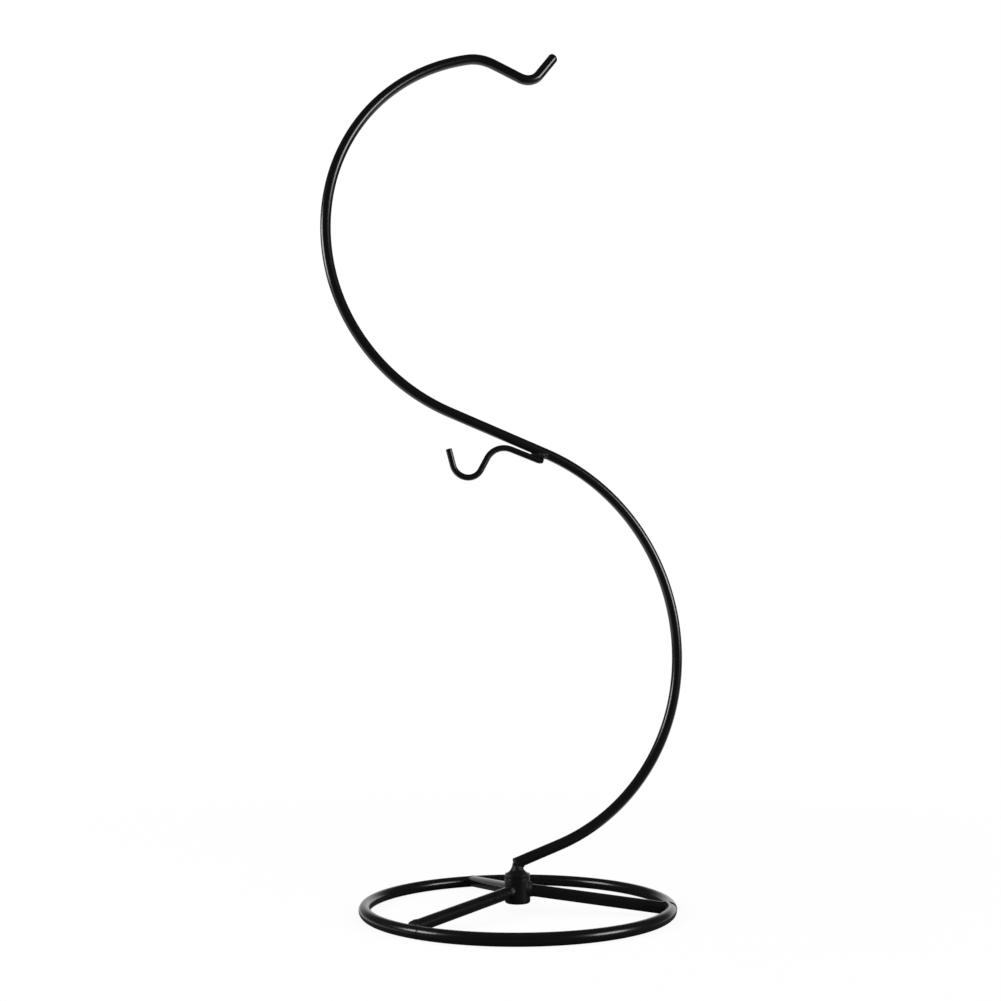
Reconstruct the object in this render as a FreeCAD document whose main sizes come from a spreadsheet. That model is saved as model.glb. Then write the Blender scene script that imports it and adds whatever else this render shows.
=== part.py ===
import FreeCAD, Part

import math
import os

import Sketcher

# Wire hanging stand: a bent rod with two hooks that screws into a three-spoke ring base.
# Millimetres and degrees. +Z is up, and the origin lies on the table under the base ring's centre.
# The rod is bent in the XZ plane: its lower bowl bulges towards +X and its upper bowl towards -X.

SIZES = [
    # base ring and its closing weld
    ("ring_radius", 62.5, "axis to the ring wire's centre"),
    ("base_wire_diameter", 4.8, "wire of the ring and the spokes"),
    ("seam_width", 1.0, "ring's butt weld, along the wire"),
    ("seam_recess", 0.05, "how far the dressed weld lies below the wire's surface"),
    ("seam_azimuth", 217.0, "where the ring's wire is joined"),
    # spokes
    ("spoke_azimuth", 92.1, "first spoke"),
    ("spoke_rise_at_hub", 6.6, "spoke line above the ring's plane, on the axis"),
    ("spoke_rise_at_rim", 0.6, "spoke line above the ring's plane, over the ring wire"),
    ("spoke_lap", 1.1, "spoke's end past the ring's inner side"),
    ("root_gap", 0.05, "between a spoke's coped end and what it is welded to"),
    ("socket_bead_reach", 1.3, "weld bead of a spoke on the socket, along the spoke"),
    ("rim_bead_reach", 1.3, "weld bead of a spoke on the ring, each way from the spoke's end"),
    ("bead_round_share", 1.6, "radius of a bead's back over its reach"),
    # socket
    ("socket_diameter", 10.5, "tapped sleeve in the middle of the base"),
    ("socket_height", 9.9, "sleeve, end to end"),
    ("socket_lift", 3.6, "sleeve's lower end above the table"),
    ("socket_corner", 0.9, "rounding of the sleeve's lower rim"),
    ("socket_mouth_chamfer", 0.4, "lead-in of the bore"),
    # stud
    ("shank_diameter", 6.0, "stud's shank over its thread"),
    ("shank_clearance", 0.05, "shank to bore, on the radius"),
    ("shank_length", 8.5, "shank below the shoulder"),
    ("shank_chamfer", 0.7, "lead-in at the shank's end"),
    ("seat_clearance", 0.02, "shoulder to socket when the stud is screwed home"),
    ("collar_diameter", 10.3, "stud's shoulder"),
    ("collar_height", 1.7, "stud's shoulder"),
    ("neck_diameter", 4.1, "narrowest place of the neck"),
    ("neck_flare_radius", 4.0, "concave flare from the neck to the collar"),
    ("neck_land", 0.25, "neck's flat top below the rod's lowest corner"),
    ("foot_weld_rise", 1.5, "weld's top above the neck's flat top"),
    # rod, from its cut lower end to the upper hook's tip
    ("rod_diameter", 4.5, "main wire"),
    ("foot_offset", -1.1, "rod's cut end, along X from the axis"),
    ("foot_height", 19.1, "rod's cut end above the table"),
    ("foot_heading", 18.8, "direction of the rod's first run above the horizontal"),
    ("foot_run", 20.6, "first straight run"),
    ("lower_bowl_start_radius", 83.9, "lower bowl, near the base"),
    ("lower_bowl_start_angle", 63.2, "how far it turns the wire"),
    ("lower_bowl_end_radius", 91.7, "lower bowl, upper half"),
    ("lower_bowl_end_angle", 78.1, "how far it turns the wire"),
    ("cross_run", 47.0, "straight run between the bowls"),
    ("upper_bowl_start_radius", 83.2, "upper bowl, lower half"),
    ("upper_bowl_start_angle", 58.6, "how far it turns the wire"),
    ("upper_bowl_end_radius", 90.2, "upper bowl, upper half"),
    ("upper_bowl_end_angle", 84.0, "how far it turns the wire"),
    ("crown_radius", 19.6, "tighter bend on top"),
    ("crown_angle", 37.5, "how far it turns the wire"),
    ("crown_run", 13.6, "straight run down to the upper hook"),
    ("upper_hook_radius", 8.0, "upper hook's bend"),
    ("upper_hook_angle", 74.1, "how far it turns the wire"),
    ("upper_hook_tip", 13.2, "straight tip of the upper hook"),
    ("upper_tip_rounding", 1.3, "rounded end of the upper hook"),
    # lower hook, from its welded end to its tip
    ("hook_diameter", 2.7, "thinner wire"),
    ("hook_station", 0.4, "welded end, along the rod from the end of the lower bowl"),
    ("hook_gap", 0.5, "rod to hook wire at the welded end"),
    ("hook_splay_angle", 1.3, "angle between the rod and the hook's straight end"),
    ("lap_run", 15.1, "straight run under the rod"),
    ("crest_radius", 9.3, "bend away from the rod"),
    ("crest_angle", 80.6, "how far it turns the wire"),
    ("leg_run", 6.05, "short straight leg"),
    ("lower_hook_radius", 6.75, "lower hook's bend"),
    ("lower_hook_angle", 137.0, "how far it turns the wire"),
    ("lower_hook_tip", 7.3, "straight tip of the lower hook"),
    ("lower_tip_chamfer", 0.2, "broken edge of the cut tip"),
    ("hook_weld_length", 6.4, "weld along the rod"),
    ("hook_weld_width", 3.2, "weld across the two wires"),
    ("hook_weld_depth", 4.4, "weld from the rod into the hook wire"),
    ("hook_weld_reach", 2.9, "weld's middle from the hook wire's cut end, along the rod"),
    # shared by all cuts
    ("overrun", 2.0, "how far a cut runs past what it cuts"),
]

SPOKE_NAMES = ["back", "left", "right"]

doc = FreeCAD.newDocument("HangingStand")
sheet = doc.addObject("Spreadsheet::Sheet", "Sizes")
for row, (alias, value, note) in enumerate(SIZES, start=1):
    sheet.set(f"A{row}", alias)
    sheet.set(f"B{row}", str(value))
    sheet.set(f"C{row}", note)
    sheet.setAlias(f"B{row}", alias)
doc.recompute()

# Places worked out from the sizes, as expressions on the sheet's cells
BASE_WIRE = "Sizes.base_wire_diameter / 2"
SOCKET_R = "Sizes.socket_diameter / 2"
SHANK_R = "Sizes.shank_diameter / 2"
BORE_R = f"{SHANK_R} + Sizes.shank_clearance"
COLLAR_R = "Sizes.collar_diameter / 2"
NECK_R = "Sizes.neck_diameter / 2"
ROD_R = "Sizes.rod_diameter / 2"
HOOK_R = "Sizes.hook_diameter / 2"
SOCKET_TOP = "Sizes.socket_lift + Sizes.socket_height"
SHOULDER = f"{SOCKET_TOP} + Sizes.seat_clearance"
COLLAR_TOP = f"{SHOULDER} + Sizes.collar_height"
FLARE_X = f"{NECK_R} + Sizes.neck_flare_radius"
FLARE_Z = f"{COLLAR_TOP} + sqrt(pow(Sizes.neck_flare_radius; 2) - pow({FLARE_X} - {COLLAR_R}; 2))"
ROD_LOW = f"Sizes.foot_height - {ROD_R} * cos(Sizes.foot_heading)"
NECK_TOP = f"{ROD_LOW} - Sizes.neck_land"
NECK_TOP_R = f"{FLARE_X} - sqrt(pow(Sizes.neck_flare_radius; 2) - pow({FLARE_Z} - ({NECK_TOP}); 2))"
WELD_TOP = f"{NECK_TOP} + Sizes.foot_weld_rise"
WELD_TOP_R = f"{FLARE_X} - sqrt(pow(Sizes.neck_flare_radius; 2) - pow({FLARE_Z} - ({WELD_TOP}); 2))"
SPOKE_FALL = "(Sizes.spoke_rise_at_hub - Sizes.spoke_rise_at_rim) / Sizes.ring_radius"
SPOKE_TILT = f"atan({SPOKE_FALL})"
SPOKE_AXIS_Z = f"{BASE_WIRE} + Sizes.spoke_rise_at_hub"
SPOKE_END = f"(Sizes.ring_radius - {BASE_WIRE} + Sizes.spoke_lap) / cos({SPOKE_TILT})"
SEAM_ANGLE = "Sizes.seam_width / Sizes.ring_radius * 180 / pi"


def number(text):
    """The value of an expression on the sheet, as a plain number."""
    found = doc.getObject("Sizes").evalExpression(text.replace("Sizes.", ""))
    return float(getattr(found, "Value", found))


def new_body(label):
    body = doc.addObject("PartDesign::Body", label)
    body.Label = label
    return body


def origin_part(body, role):
    return next(item for item in body.Origin.OriginFeatures if item.Role == role)


def new_sketch(body, name, plane="XZ_Plane"):
    sketch = body.newObject("Sketcher::SketchObject", f"{body.Name}_{name}")
    sketch.AttachmentSupport = (origin_part(body, plane), [""])
    sketch.MapMode = "FlatFace"
    return sketch


def spoke_sketch(body, name):
    """A sketch in the body's XZ plane whose own X axis is the spoke's line."""
    sketch = new_sketch(body, name)
    sketch.setExpression("AttachmentOffset.Rotation.Angle", f"-{SPOKE_TILT}")
    sketch.setExpression("AttachmentOffset.Base.y", SPOKE_AXIS_Z)
    return sketch


def bind(sketch, index, text):
    sketch.setExpression(f"Constraints[{index}]", text)


def hold(sketch, element, end, across, up):
    """Holds one end of an element at two expressions; zero puts it on the axis."""
    if number(across) == 0:
        sketch.addConstraint(Sketcher.Constraint("PointOnObject", element, end, -2))
    else:
        rule = Sketcher.Constraint("DistanceX", -1, 1, element, end, number(across))
        bind(sketch, sketch.addConstraint(rule), across)
    if number(up) == 0:
        sketch.addConstraint(Sketcher.Constraint("PointOnObject", element, end, -1))
    else:
        rule = Sketcher.Constraint("DistanceY", -1, 1, element, end, number(up))
        bind(sketch, sketch.addConstraint(rule), up)


def outline(sketch, corners, arcs=()):
    """A closed outline through corners, each a pair of expressions.

    arcs gives, for the side that starts at a corner, its radius and 1 or -1 for the side of the
    straight line between the two corners that the arc's centre lies on, left being 1.
    """
    bends = dict((start, (radius, side)) for start, radius, side in arcs)
    points = [FreeCAD.Vector(number(across), number(up), 0) for across, up in corners]
    count = len(corners)
    joins = []
    for start in range(count):
        first = points[start]
        last = points[(start + 1) % count]
        if start not in bends:
            sketch.addGeometry(Part.LineSegment(first, last), False)
            joins.append((1, 2))
            continue
        radius, side = bends[start]
        chord = last - first
        half = chord.Length / 2
        left = FreeCAD.Vector(-chord.y, chord.x, 0).normalize()
        depth = math.sqrt(max(number(radius) ** 2 - half**2, 0))
        centre = first + chord / 2 + left * (side * depth)
        angles = [math.atan2((end - centre).y, (end - centre).x) for end in (first, last)]
        forward = side > 0
        if not forward:
            angles.reverse()
        circle = Part.Circle(centre, FreeCAD.Vector(0, 0, 1), number(radius))
        sketch.addGeometry(Part.ArcOfCircle(circle, angles[0], angles[1]), False)
        joins.append((1, 2) if forward else (2, 1))
    for start in range(count):
        after = (start + 1) % count
        rule = Sketcher.Constraint("Coincident", start, joins[start][1], after, joins[after][0])
        sketch.addConstraint(rule)
    for start, (across, up) in enumerate(corners):
        hold(sketch, start, joins[start][0], across, up)
    for start, (radius, side) in bends.items():
        rule = Sketcher.Constraint("Radius", start, number(radius))
        bind(sketch, sketch.addConstraint(rule), radius)


def circle_at(sketch, across, up, radius):
    centre = FreeCAD.Vector(number(across), number(up), 0)
    sketch.addGeometry(Part.Circle(centre, FreeCAD.Vector(0, 0, 1), number(radius)), False)
    hold(sketch, 0, 3, across, up)
    bind(sketch, sketch.addConstraint(Sketcher.Constraint("Radius", 0, number(radius))), radius)


def turn(body, sketch, kind, axis="V_Axis", angle=None):
    """A Revolution or a Groove of a sketch about one of its own axes."""
    feature = body.newObject(f"PartDesign::{kind}", f"{sketch.Name}_{kind}")
    feature.Profile = sketch
    feature.ReferenceAxis = (sketch, [axis])
    if angle:
        feature.setExpression("Angle", angle)
    doc.recompute()
    return feature


def chain_path(sketch, start, heading, pieces):
    """Straight runs and arcs, each tangent to the one before it.

    pieces holds (length, 0) for a run and (radius, angle) for an arc; an arc with a minus sign
    before its angle turns clockwise. Returns the end's place.
    """
    place = FreeCAD.Vector(number(start[0]), number(start[1]), 0)
    facing = math.radians(number(heading))
    ends = []
    for size, angle in pieces:
        ahead = FreeCAD.Vector(math.cos(facing), math.sin(facing), 0)
        if angle == 0:
            after = place + ahead * number(size)
            index = sketch.addGeometry(Part.LineSegment(place, after), False)
            ends.append((1, 2))
        else:
            side = -1 if angle.startswith("-") else 1
            sweep = math.radians(number(angle))
            left = FreeCAD.Vector(-ahead.y, ahead.x, 0)
            centre = place + left * (side * number(size))
            begin = facing - side * math.pi / 2
            circle = Part.Circle(centre, FreeCAD.Vector(0, 0, 1), number(size))
            limits = sorted([begin, begin + sweep])
            index = sketch.addGeometry(Part.ArcOfCircle(circle, limits[0], limits[1]), False)
            ends.append((1, 2) if side > 0 else (2, 1))
            facing += sweep
            arm = FreeCAD.Vector(math.cos(begin + sweep), math.sin(begin + sweep), 0)
            after = centre + arm * number(size)
        if index > 0:
            rule = Sketcher.Constraint("Tangent", index - 1, ends[-2][1], index, ends[-1][0])
            sketch.addConstraint(rule)
        place = after
    hold(sketch, 0, 1, start[0], start[1])
    rule = Sketcher.Constraint("Angle", -1, 1, 0, 1, math.radians(number(heading)))
    bind(sketch, sketch.addConstraint(rule), heading)
    for index, (size, angle) in enumerate(pieces):
        if angle == 0:
            rule = Sketcher.Constraint("Distance", index, number(size))
            bind(sketch, sketch.addConstraint(rule), size)
            continue
        rule = Sketcher.Constraint("Radius", index, number(size))
        bind(sketch, sketch.addConstraint(rule), size)
        plain = angle.lstrip("-")
        rule = Sketcher.Constraint("Angle", index, math.radians(number(plain)))
        bind(sketch, sketch.addConstraint(rule), plain)
    return place


def wire_along(body, path, radius):
    """A round wire of the given radius along a path sketch, square at both ends."""
    section = body.newObject("Sketcher::SketchObject", f"{body.Name}_section")
    section.AttachmentSupport = (path, ["Edge1"])
    section.MapMode = "NormalToEdge"
    centre = FreeCAD.Vector(0, 0, 0)
    section.addGeometry(Part.Circle(centre, FreeCAD.Vector(0, 0, 1), number(radius)), False)
    section.addConstraint(Sketcher.Constraint("Coincident", 0, 3, -1, 1))
    bind(section, section.addConstraint(Sketcher.Constraint("Radius", 0, number(radius))), radius)
    doc.recompute()
    pipe = body.newObject("PartDesign::AdditivePipe", f"{body.Name}_wire")
    pipe.Profile = section
    pipe.Spine = path
    doc.recompute()
    return pipe


def rim_at(shape, place):
    """The name of the circular edge whose centre is nearest to a place."""
    rims = []
    for index, edge in enumerate(shape.Edges, start=1):
        if isinstance(edge.Curve, Part.Circle) and edge.isClosed():
            rims.append((edge.Curve.Center.distanceToPoint(place), f"Edge{index}"))
    return min(rims)[1]


def in_rod_plane(point):
    """A sketch point of the XZ plane as a place in the part's frame."""
    return FreeCAD.Vector(point.x, 0, point.y)


def spin(body, azimuth):
    """Turns a body about the vertical axis."""
    about = FreeCAD.Rotation(FreeCAD.Vector(0, 0, 1), number(azimuth))
    body.Placement = FreeCAD.Placement(FreeCAD.Vector(0, 0, 0), about)
    body.setExpression("Placement.Rotation.Angle", azimuth)


def ring_wire(label, radius, angle, azimuth):
    """A length of the base ring's wire, of the given angle about the axis."""
    body = new_body(label)
    section = new_sketch(body, "section")
    circle_at(section, "Sizes.ring_radius", BASE_WIRE, radius)
    turn(body, section, "Revolution", angle=angle)
    spin(body, azimuth)


def cope_to_socket(body, gap):
    """Cuts a piece of a spoke's joint back to the socket's wall."""
    low = f"{SPOKE_AXIS_Z} - {BASE_WIRE} - Sizes.socket_bead_reach - Sizes.overrun"
    high = f"{SPOKE_AXIS_Z} + {BASE_WIRE} + Sizes.socket_bead_reach + Sizes.overrun"
    wall = f"{SOCKET_R} + {gap}"
    sketch = new_sketch(body, "socket_cope")
    outline(sketch, [("0", low), (wall, low), (wall, high), ("0", high)])
    turn(body, sketch, "Groove")


def cope_to_ring(body, gap):
    """Cuts a piece of a spoke's joint back to the ring's wire."""
    sketch = new_sketch(body, "ring_cope")
    circle_at(sketch, "Sizes.ring_radius", BASE_WIRE, f"{BASE_WIRE} + {gap}")
    turn(body, sketch, "Groove")


def make_spoke(name, azimuth):
    """A straight wire from the socket's wall down to the ring, coped at both ends."""
    body = new_body(f"spoke_{name}")
    side = spoke_sketch(body, "side")
    inner = f"{SOCKET_R} / 2"
    corners = [(inner, "0"), (SPOKE_END, "0"), (SPOKE_END, BASE_WIRE), (inner, BASE_WIRE)]
    outline(side, corners)
    turn(body, side, "Revolution", axis="H_Axis")
    cope_to_socket(body, "Sizes.root_gap")
    cope_to_ring(body, "Sizes.root_gap")
    spin(body, azimuth)


def make_socket_weld(name, azimuth):
    """A bead round the spoke where it meets the socket, its back an arc."""
    body = new_body(f"socket_weld_{name}")
    side = spoke_sketch(body, "side")
    middle = f"{SOCKET_R} / cos({SPOKE_TILT})"
    corners = [
        (f"{middle} - Sizes.socket_bead_reach", BASE_WIRE),
        (f"{middle} + Sizes.socket_bead_reach", BASE_WIRE),
    ]
    outline(side, corners, [(1, "Sizes.socket_bead_reach * Sizes.bead_round_share", 1)])
    turn(body, side, "Revolution", axis="H_Axis")
    cope_to_socket(body, "0")
    spin(body, azimuth)


def make_rim_weld(name, azimuth):
    """A bead round the spoke's end that also fills the corner between the end and the ring."""
    body = new_body(f"rim_weld_{name}")
    side = spoke_sketch(body, "side")
    outer = f"{SPOKE_END} + Sizes.rim_bead_reach"
    corners = [
        (SPOKE_END, "0"),
        (outer, "0"),
        (outer, BASE_WIRE),
        (f"{SPOKE_END} - Sizes.rim_bead_reach", BASE_WIRE),
        (SPOKE_END, BASE_WIRE),
    ]
    outline(side, corners, [(2, "Sizes.rim_bead_reach * Sizes.bead_round_share", 1)])
    turn(body, side, "Revolution", axis="H_Axis")
    cope_to_ring(body, "0")
    spin(body, azimuth)


def make_socket():
    """The tapped sleeve, bored right through, with a rounded lower rim."""
    body = new_body("hub_socket")
    side = new_sketch(body, "side")
    corners = [
        (BORE_R, "Sizes.socket_lift"),
        (f"{SOCKET_R} - Sizes.socket_corner", "Sizes.socket_lift"),
        (SOCKET_R, "Sizes.socket_lift + Sizes.socket_corner"),
        (SOCKET_R, SOCKET_TOP),
        (f"{BORE_R} + Sizes.socket_mouth_chamfer", SOCKET_TOP),
        (BORE_R, f"{SOCKET_TOP} - Sizes.socket_mouth_chamfer"),
    ]
    outline(side, corners, [(1, "Sizes.socket_corner", 1)])
    turn(body, side, "Revolution")


def make_stud():
    """Shank, shoulder collar and trumpet neck, turned in one piece."""
    body = new_body("screw_stud")
    side = new_sketch(body, "side")
    shank_end = f"{SHOULDER} - Sizes.shank_length"
    corners = [
        ("0", shank_end),
        (f"{SHANK_R} - Sizes.shank_chamfer", shank_end),
        (SHANK_R, f"{shank_end} + Sizes.shank_chamfer"),
        (SHANK_R, SHOULDER),
        (COLLAR_R, SHOULDER),
        (COLLAR_R, COLLAR_TOP),
        (NECK_TOP_R, NECK_TOP),
        ("0", NECK_TOP),
    ]
    outline(side, corners, [(5, "Sizes.neck_flare_radius", -1)])
    turn(body, side, "Revolution")


def make_rod():
    """The S: two bowls joined by a straight run, and the upper hook at the top end."""
    body = new_body("s_rod")
    path = new_sketch(body, "path")
    tip = chain_path(path, ROD_START, "Sizes.foot_heading", ROD_PIECES)
    pipe = wire_along(body, path, ROD_R)
    end = body.newObject("PartDesign::Fillet", "s_rod_tip")
    end.Base = (pipe, [rim_at(pipe.Shape, in_rod_plane(tip))])
    end.setExpression("Radius", "Sizes.upper_tip_rounding")
    doc.recompute()
    return body


def make_lower_hook():
    """The thinner wire: straight under the rod, over a crest, down a leg and round the hook."""
    body = new_body("lower_hook")
    path = new_sketch(body, "path")
    tip = chain_path(path, HOOK_START, HOOK_HEADING, HOOK_PIECES)
    pipe = wire_along(body, path, HOOK_R)
    end = body.newObject("PartDesign::Chamfer", "lower_hook_tip_edge")
    end.Base = (pipe, [rim_at(pipe.Shape, in_rod_plane(tip))])
    end.setExpression("Size", "Sizes.lower_tip_chamfer")
    doc.recompute()
    return body


def make_foot_weld(rod):
    """Weld metal that carries the neck's flare on up to the rod, less the rod."""
    blank = new_body("foot_weld_blank")
    side = new_sketch(blank, "side")
    corners = [("0", NECK_TOP), (NECK_TOP_R, NECK_TOP), (WELD_TOP_R, WELD_TOP), ("0", WELD_TOP)]
    outline(side, corners, [(1, "Sizes.neck_flare_radius", -1)])
    turn(blank, side, "Revolution")
    less(blank, rod, "foot_weld")


def make_hook_weld(rod, hook):
    """An egg of weld metal in the crease between the two wires, less both of them."""
    egg = doc.addObject("Part::Ellipsoid", "hook_weld_blank")
    egg.setExpression("Radius1", "Sizes.hook_weld_depth / 2")
    egg.setExpression("Radius2", "Sizes.hook_weld_length / 2")
    egg.setExpression("Radius3", "Sizes.hook_weld_width / 2")
    along = "Sizes.hook_station + Sizes.hook_weld_reach"
    across, up = beside_cross_run(along, f"{ROD_R} + Sizes.hook_gap / 2")
    along_rod = FreeCAD.Rotation(FreeCAD.Vector(0, -1, 0), number(CROSS_HEADING))
    egg.Placement = FreeCAD.Placement(FreeCAD.Vector(0, 0, 0), along_rod)
    egg.setExpression("Placement.Rotation.Angle", CROSS_HEADING)
    egg.setExpression("Placement.Base.x", across)
    egg.setExpression("Placement.Base.z", up)
    first = less(egg, rod, "hook_weld_on_rod")
    less(first, hook, "hook_weld")


def less(base, tool, label):
    """One piece with the room for another cut out of it."""
    cut = doc.addObject("Part::Cut", label)
    cut.Label = label
    cut.Base = base
    cut.Tool = tool
    doc.recompute()
    return cut


def path_end(start, heading, pieces):
    """Where a chain of runs and counterclockwise arcs ends, as expressions."""
    across, up = start
    for size, angle in pieces:
        if angle == 0:
            across = f"{across} + {size} * cos({heading})"
            up = f"{up} + {size} * sin({heading})"
            continue
        after = f"{heading} + {angle}"
        across = f"{across} + {size} * (sin({after}) - sin({heading}))"
        up = f"{up} + {size} * (cos({heading}) - cos({after}))"
        heading = after
    return across, up, heading


def beside_cross_run(along, below):
    """A point given along the cross run and below its axis, as expressions."""
    across = f"{CROSS_X} + ({along}) * cos({CROSS_HEADING}) - ({below}) * sin({CROSS_HEADING})"
    up = f"{CROSS_Z} + ({along}) * sin({CROSS_HEADING}) + ({below}) * cos({CROSS_HEADING})"
    return across, up


ROD_PIECES = [
    ("Sizes.foot_run", 0),
    ("Sizes.lower_bowl_start_radius", "Sizes.lower_bowl_start_angle"),
    ("Sizes.lower_bowl_end_radius", "Sizes.lower_bowl_end_angle"),
    ("Sizes.cross_run", 0),
    ("Sizes.upper_bowl_start_radius", "-Sizes.upper_bowl_start_angle"),
    ("Sizes.upper_bowl_end_radius", "-Sizes.upper_bowl_end_angle"),
    ("Sizes.crown_radius", "-Sizes.crown_angle"),
    ("Sizes.crown_run", 0),
    ("Sizes.upper_hook_radius", "Sizes.upper_hook_angle"),
    ("Sizes.upper_hook_tip", 0),
]
HOOK_PIECES = [
    ("Sizes.lap_run", 0),
    ("Sizes.crest_radius", "Sizes.crest_angle"),
    ("Sizes.leg_run", 0),
    ("Sizes.lower_hook_radius", "-Sizes.lower_hook_angle"),
    ("Sizes.lower_hook_tip", 0),
]
ROD_START = ("Sizes.foot_offset", "Sizes.foot_height")
CROSS_X, CROSS_Z, CROSS_HEADING = path_end(ROD_START, "Sizes.foot_heading", ROD_PIECES[:3])
HOOK_START = beside_cross_run("Sizes.hook_station", f"{ROD_R} + {HOOK_R} + Sizes.hook_gap")
HOOK_HEADING = f"{CROSS_HEADING} + Sizes.hook_splay_angle"

ring_wire("base_ring", BASE_WIRE, f"360 - {SEAM_ANGLE}", f"Sizes.seam_azimuth + {SEAM_ANGLE} / 2")
seam_radius = f"{BASE_WIRE} - Sizes.seam_recess"
ring_wire("ring_seam_weld", seam_radius, SEAM_ANGLE, f"Sizes.seam_azimuth - {SEAM_ANGLE} / 2")
for place, name in enumerate(SPOKE_NAMES):
    azimuth = f"Sizes.spoke_azimuth + {place} * 360 / {len(SPOKE_NAMES)}"
    make_spoke(name, azimuth)
    make_socket_weld(name, azimuth)
    make_rim_weld(name, azimuth)
make_socket()
make_stud()
rod = make_rod()
hook = make_lower_hook()
make_foot_weld(rod)
make_hook_weld(rod, hook)
doc.recompute()

NODES = ["base_ring", "ring_seam_weld"]
NODES += [f"{piece}_{name}" for piece in ("spoke", "socket_weld", "rim_weld") for name in SPOKE_NAMES]
NODES += ["hub_socket", "screw_stud", "s_rod", "lower_hook", "foot_weld", "hook_weld"]

for item in doc.Objects:
    if "Invalid" in item.State or "Error" in item.State:
        raise RuntimeError(f"{item.Name} failed: {item.State}")
os.makedirs("parts", exist_ok=True)
for label in NODES:
    shape = doc.getObjectsByLabel(label)[0].Shape
    if shape.isNull() or not shape.isValid():
        raise RuntimeError(f"{label} has no valid shape")
    box = shape.BoundBox
    print(f"{label}: {len(shape.Solids)} solid, {shape.Volume:.1f} mm3, z {box.ZMin:.2f} to {box.ZMax:.2f}")
    shape.exportStep(f"parts/{label}.step")
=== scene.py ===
from collections import namedtuple

import bpy
import numpy as np
from mathutils import Matrix, Vector


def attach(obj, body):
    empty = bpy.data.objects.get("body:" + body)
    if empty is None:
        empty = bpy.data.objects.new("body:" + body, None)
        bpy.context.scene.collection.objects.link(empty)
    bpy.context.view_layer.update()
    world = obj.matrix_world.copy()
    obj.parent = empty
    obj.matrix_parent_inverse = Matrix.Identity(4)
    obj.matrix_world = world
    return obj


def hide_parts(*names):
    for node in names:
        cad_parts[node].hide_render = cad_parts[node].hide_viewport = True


bl_info = {
    "name": "Ornament hanging stand",
    "version": (1, 0),
    "blender": (4, 5, 0),
    "location": "3D View > Sidebar > Hanging stand",
    "description": "Dresses a two-hook wire stand: its bent wires, turned hub, welds, black paint and studio",
    "category": "Object",
}

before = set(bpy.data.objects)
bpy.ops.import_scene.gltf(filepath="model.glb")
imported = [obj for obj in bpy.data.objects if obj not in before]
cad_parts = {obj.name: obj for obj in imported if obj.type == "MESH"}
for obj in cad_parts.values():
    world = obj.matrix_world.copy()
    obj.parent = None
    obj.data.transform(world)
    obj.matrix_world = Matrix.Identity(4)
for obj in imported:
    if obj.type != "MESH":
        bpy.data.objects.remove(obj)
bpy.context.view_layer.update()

# Metres and radians. +Z is up, and the origin lies on the table under the base ring's centre.
# The rod is bent in the XZ plane: its lower bowl bulges towards +X and its upper bowl towards -X.
MM = 0.001
FULL_TURN = 2 * np.pi
QUARTER_TURN = np.pi / 2
SPOKE_NAMES = ("back", "left", "right")

# How fine the meshes are: points round a row, rows of a stretch and distances between rows
WIRE_COLUMNS = 56
TURNED_COLUMNS = 120
WELD_COLUMNS = 112
ROUNDING_ROWS = 6
CORNER_ROWS = 12
SIDE_ROWS = 20
NECK_ROWS = 22
SPOKE_ROWS = 60
SEAM_ROWS = 33
BEAD_ROWS = 15
BARREL_ROWS = 12
NOSE_ROWS = 18
FOOT_ROWS = 30
HOOK_WELD_ROWS = 60
RING_SPACING = 1.1 * MM
ROD_SPACING = 0.9 * MM
HOOK_SPACING = 0.5 * MM
FINE_SPACING = 0.08 * MM


def millimetres(label, size, text):
    """A length that is given in millimetres and kept in metres."""
    return bpy.props.FloatProperty(
        name=label, description=text, default=size * MM, unit="LENGTH", precision=5
    )


def degrees(label, angle, text):
    """An angle that is given in degrees and kept in radians."""
    return bpy.props.FloatProperty(name=label, description=text, default=np.radians(angle), subtype="ANGLE")


def share(label, amount, text):
    """A plain amount from nothing to one."""
    return bpy.props.FloatProperty(
        name=label, description=text, default=amount, min=0, max=1, subtype="FACTOR"
    )


def tint(label, colour, text):
    """A linear colour."""
    return bpy.props.FloatVectorProperty(
        name=label, description=text, default=colour, size=3, min=0, max=1, subtype="COLOR"
    )


def number(label, value, text):
    """A plain number."""
    return bpy.props.FloatProperty(name=label, description=text, default=value)


def metres(label, lengths, text):
    """Two or three lengths in metres."""
    return bpy.props.FloatVectorProperty(
        name=label, description=text, default=lengths, size=len(lengths), unit="LENGTH", precision=5
    )


def for_each_spoke(label, sizes, text):
    """A length in millimetres for each spoke, kept in metres."""
    return metres(label, [size * MM for size in sizes], f"{text}: {', '.join(SPOKE_NAMES)}")


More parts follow.
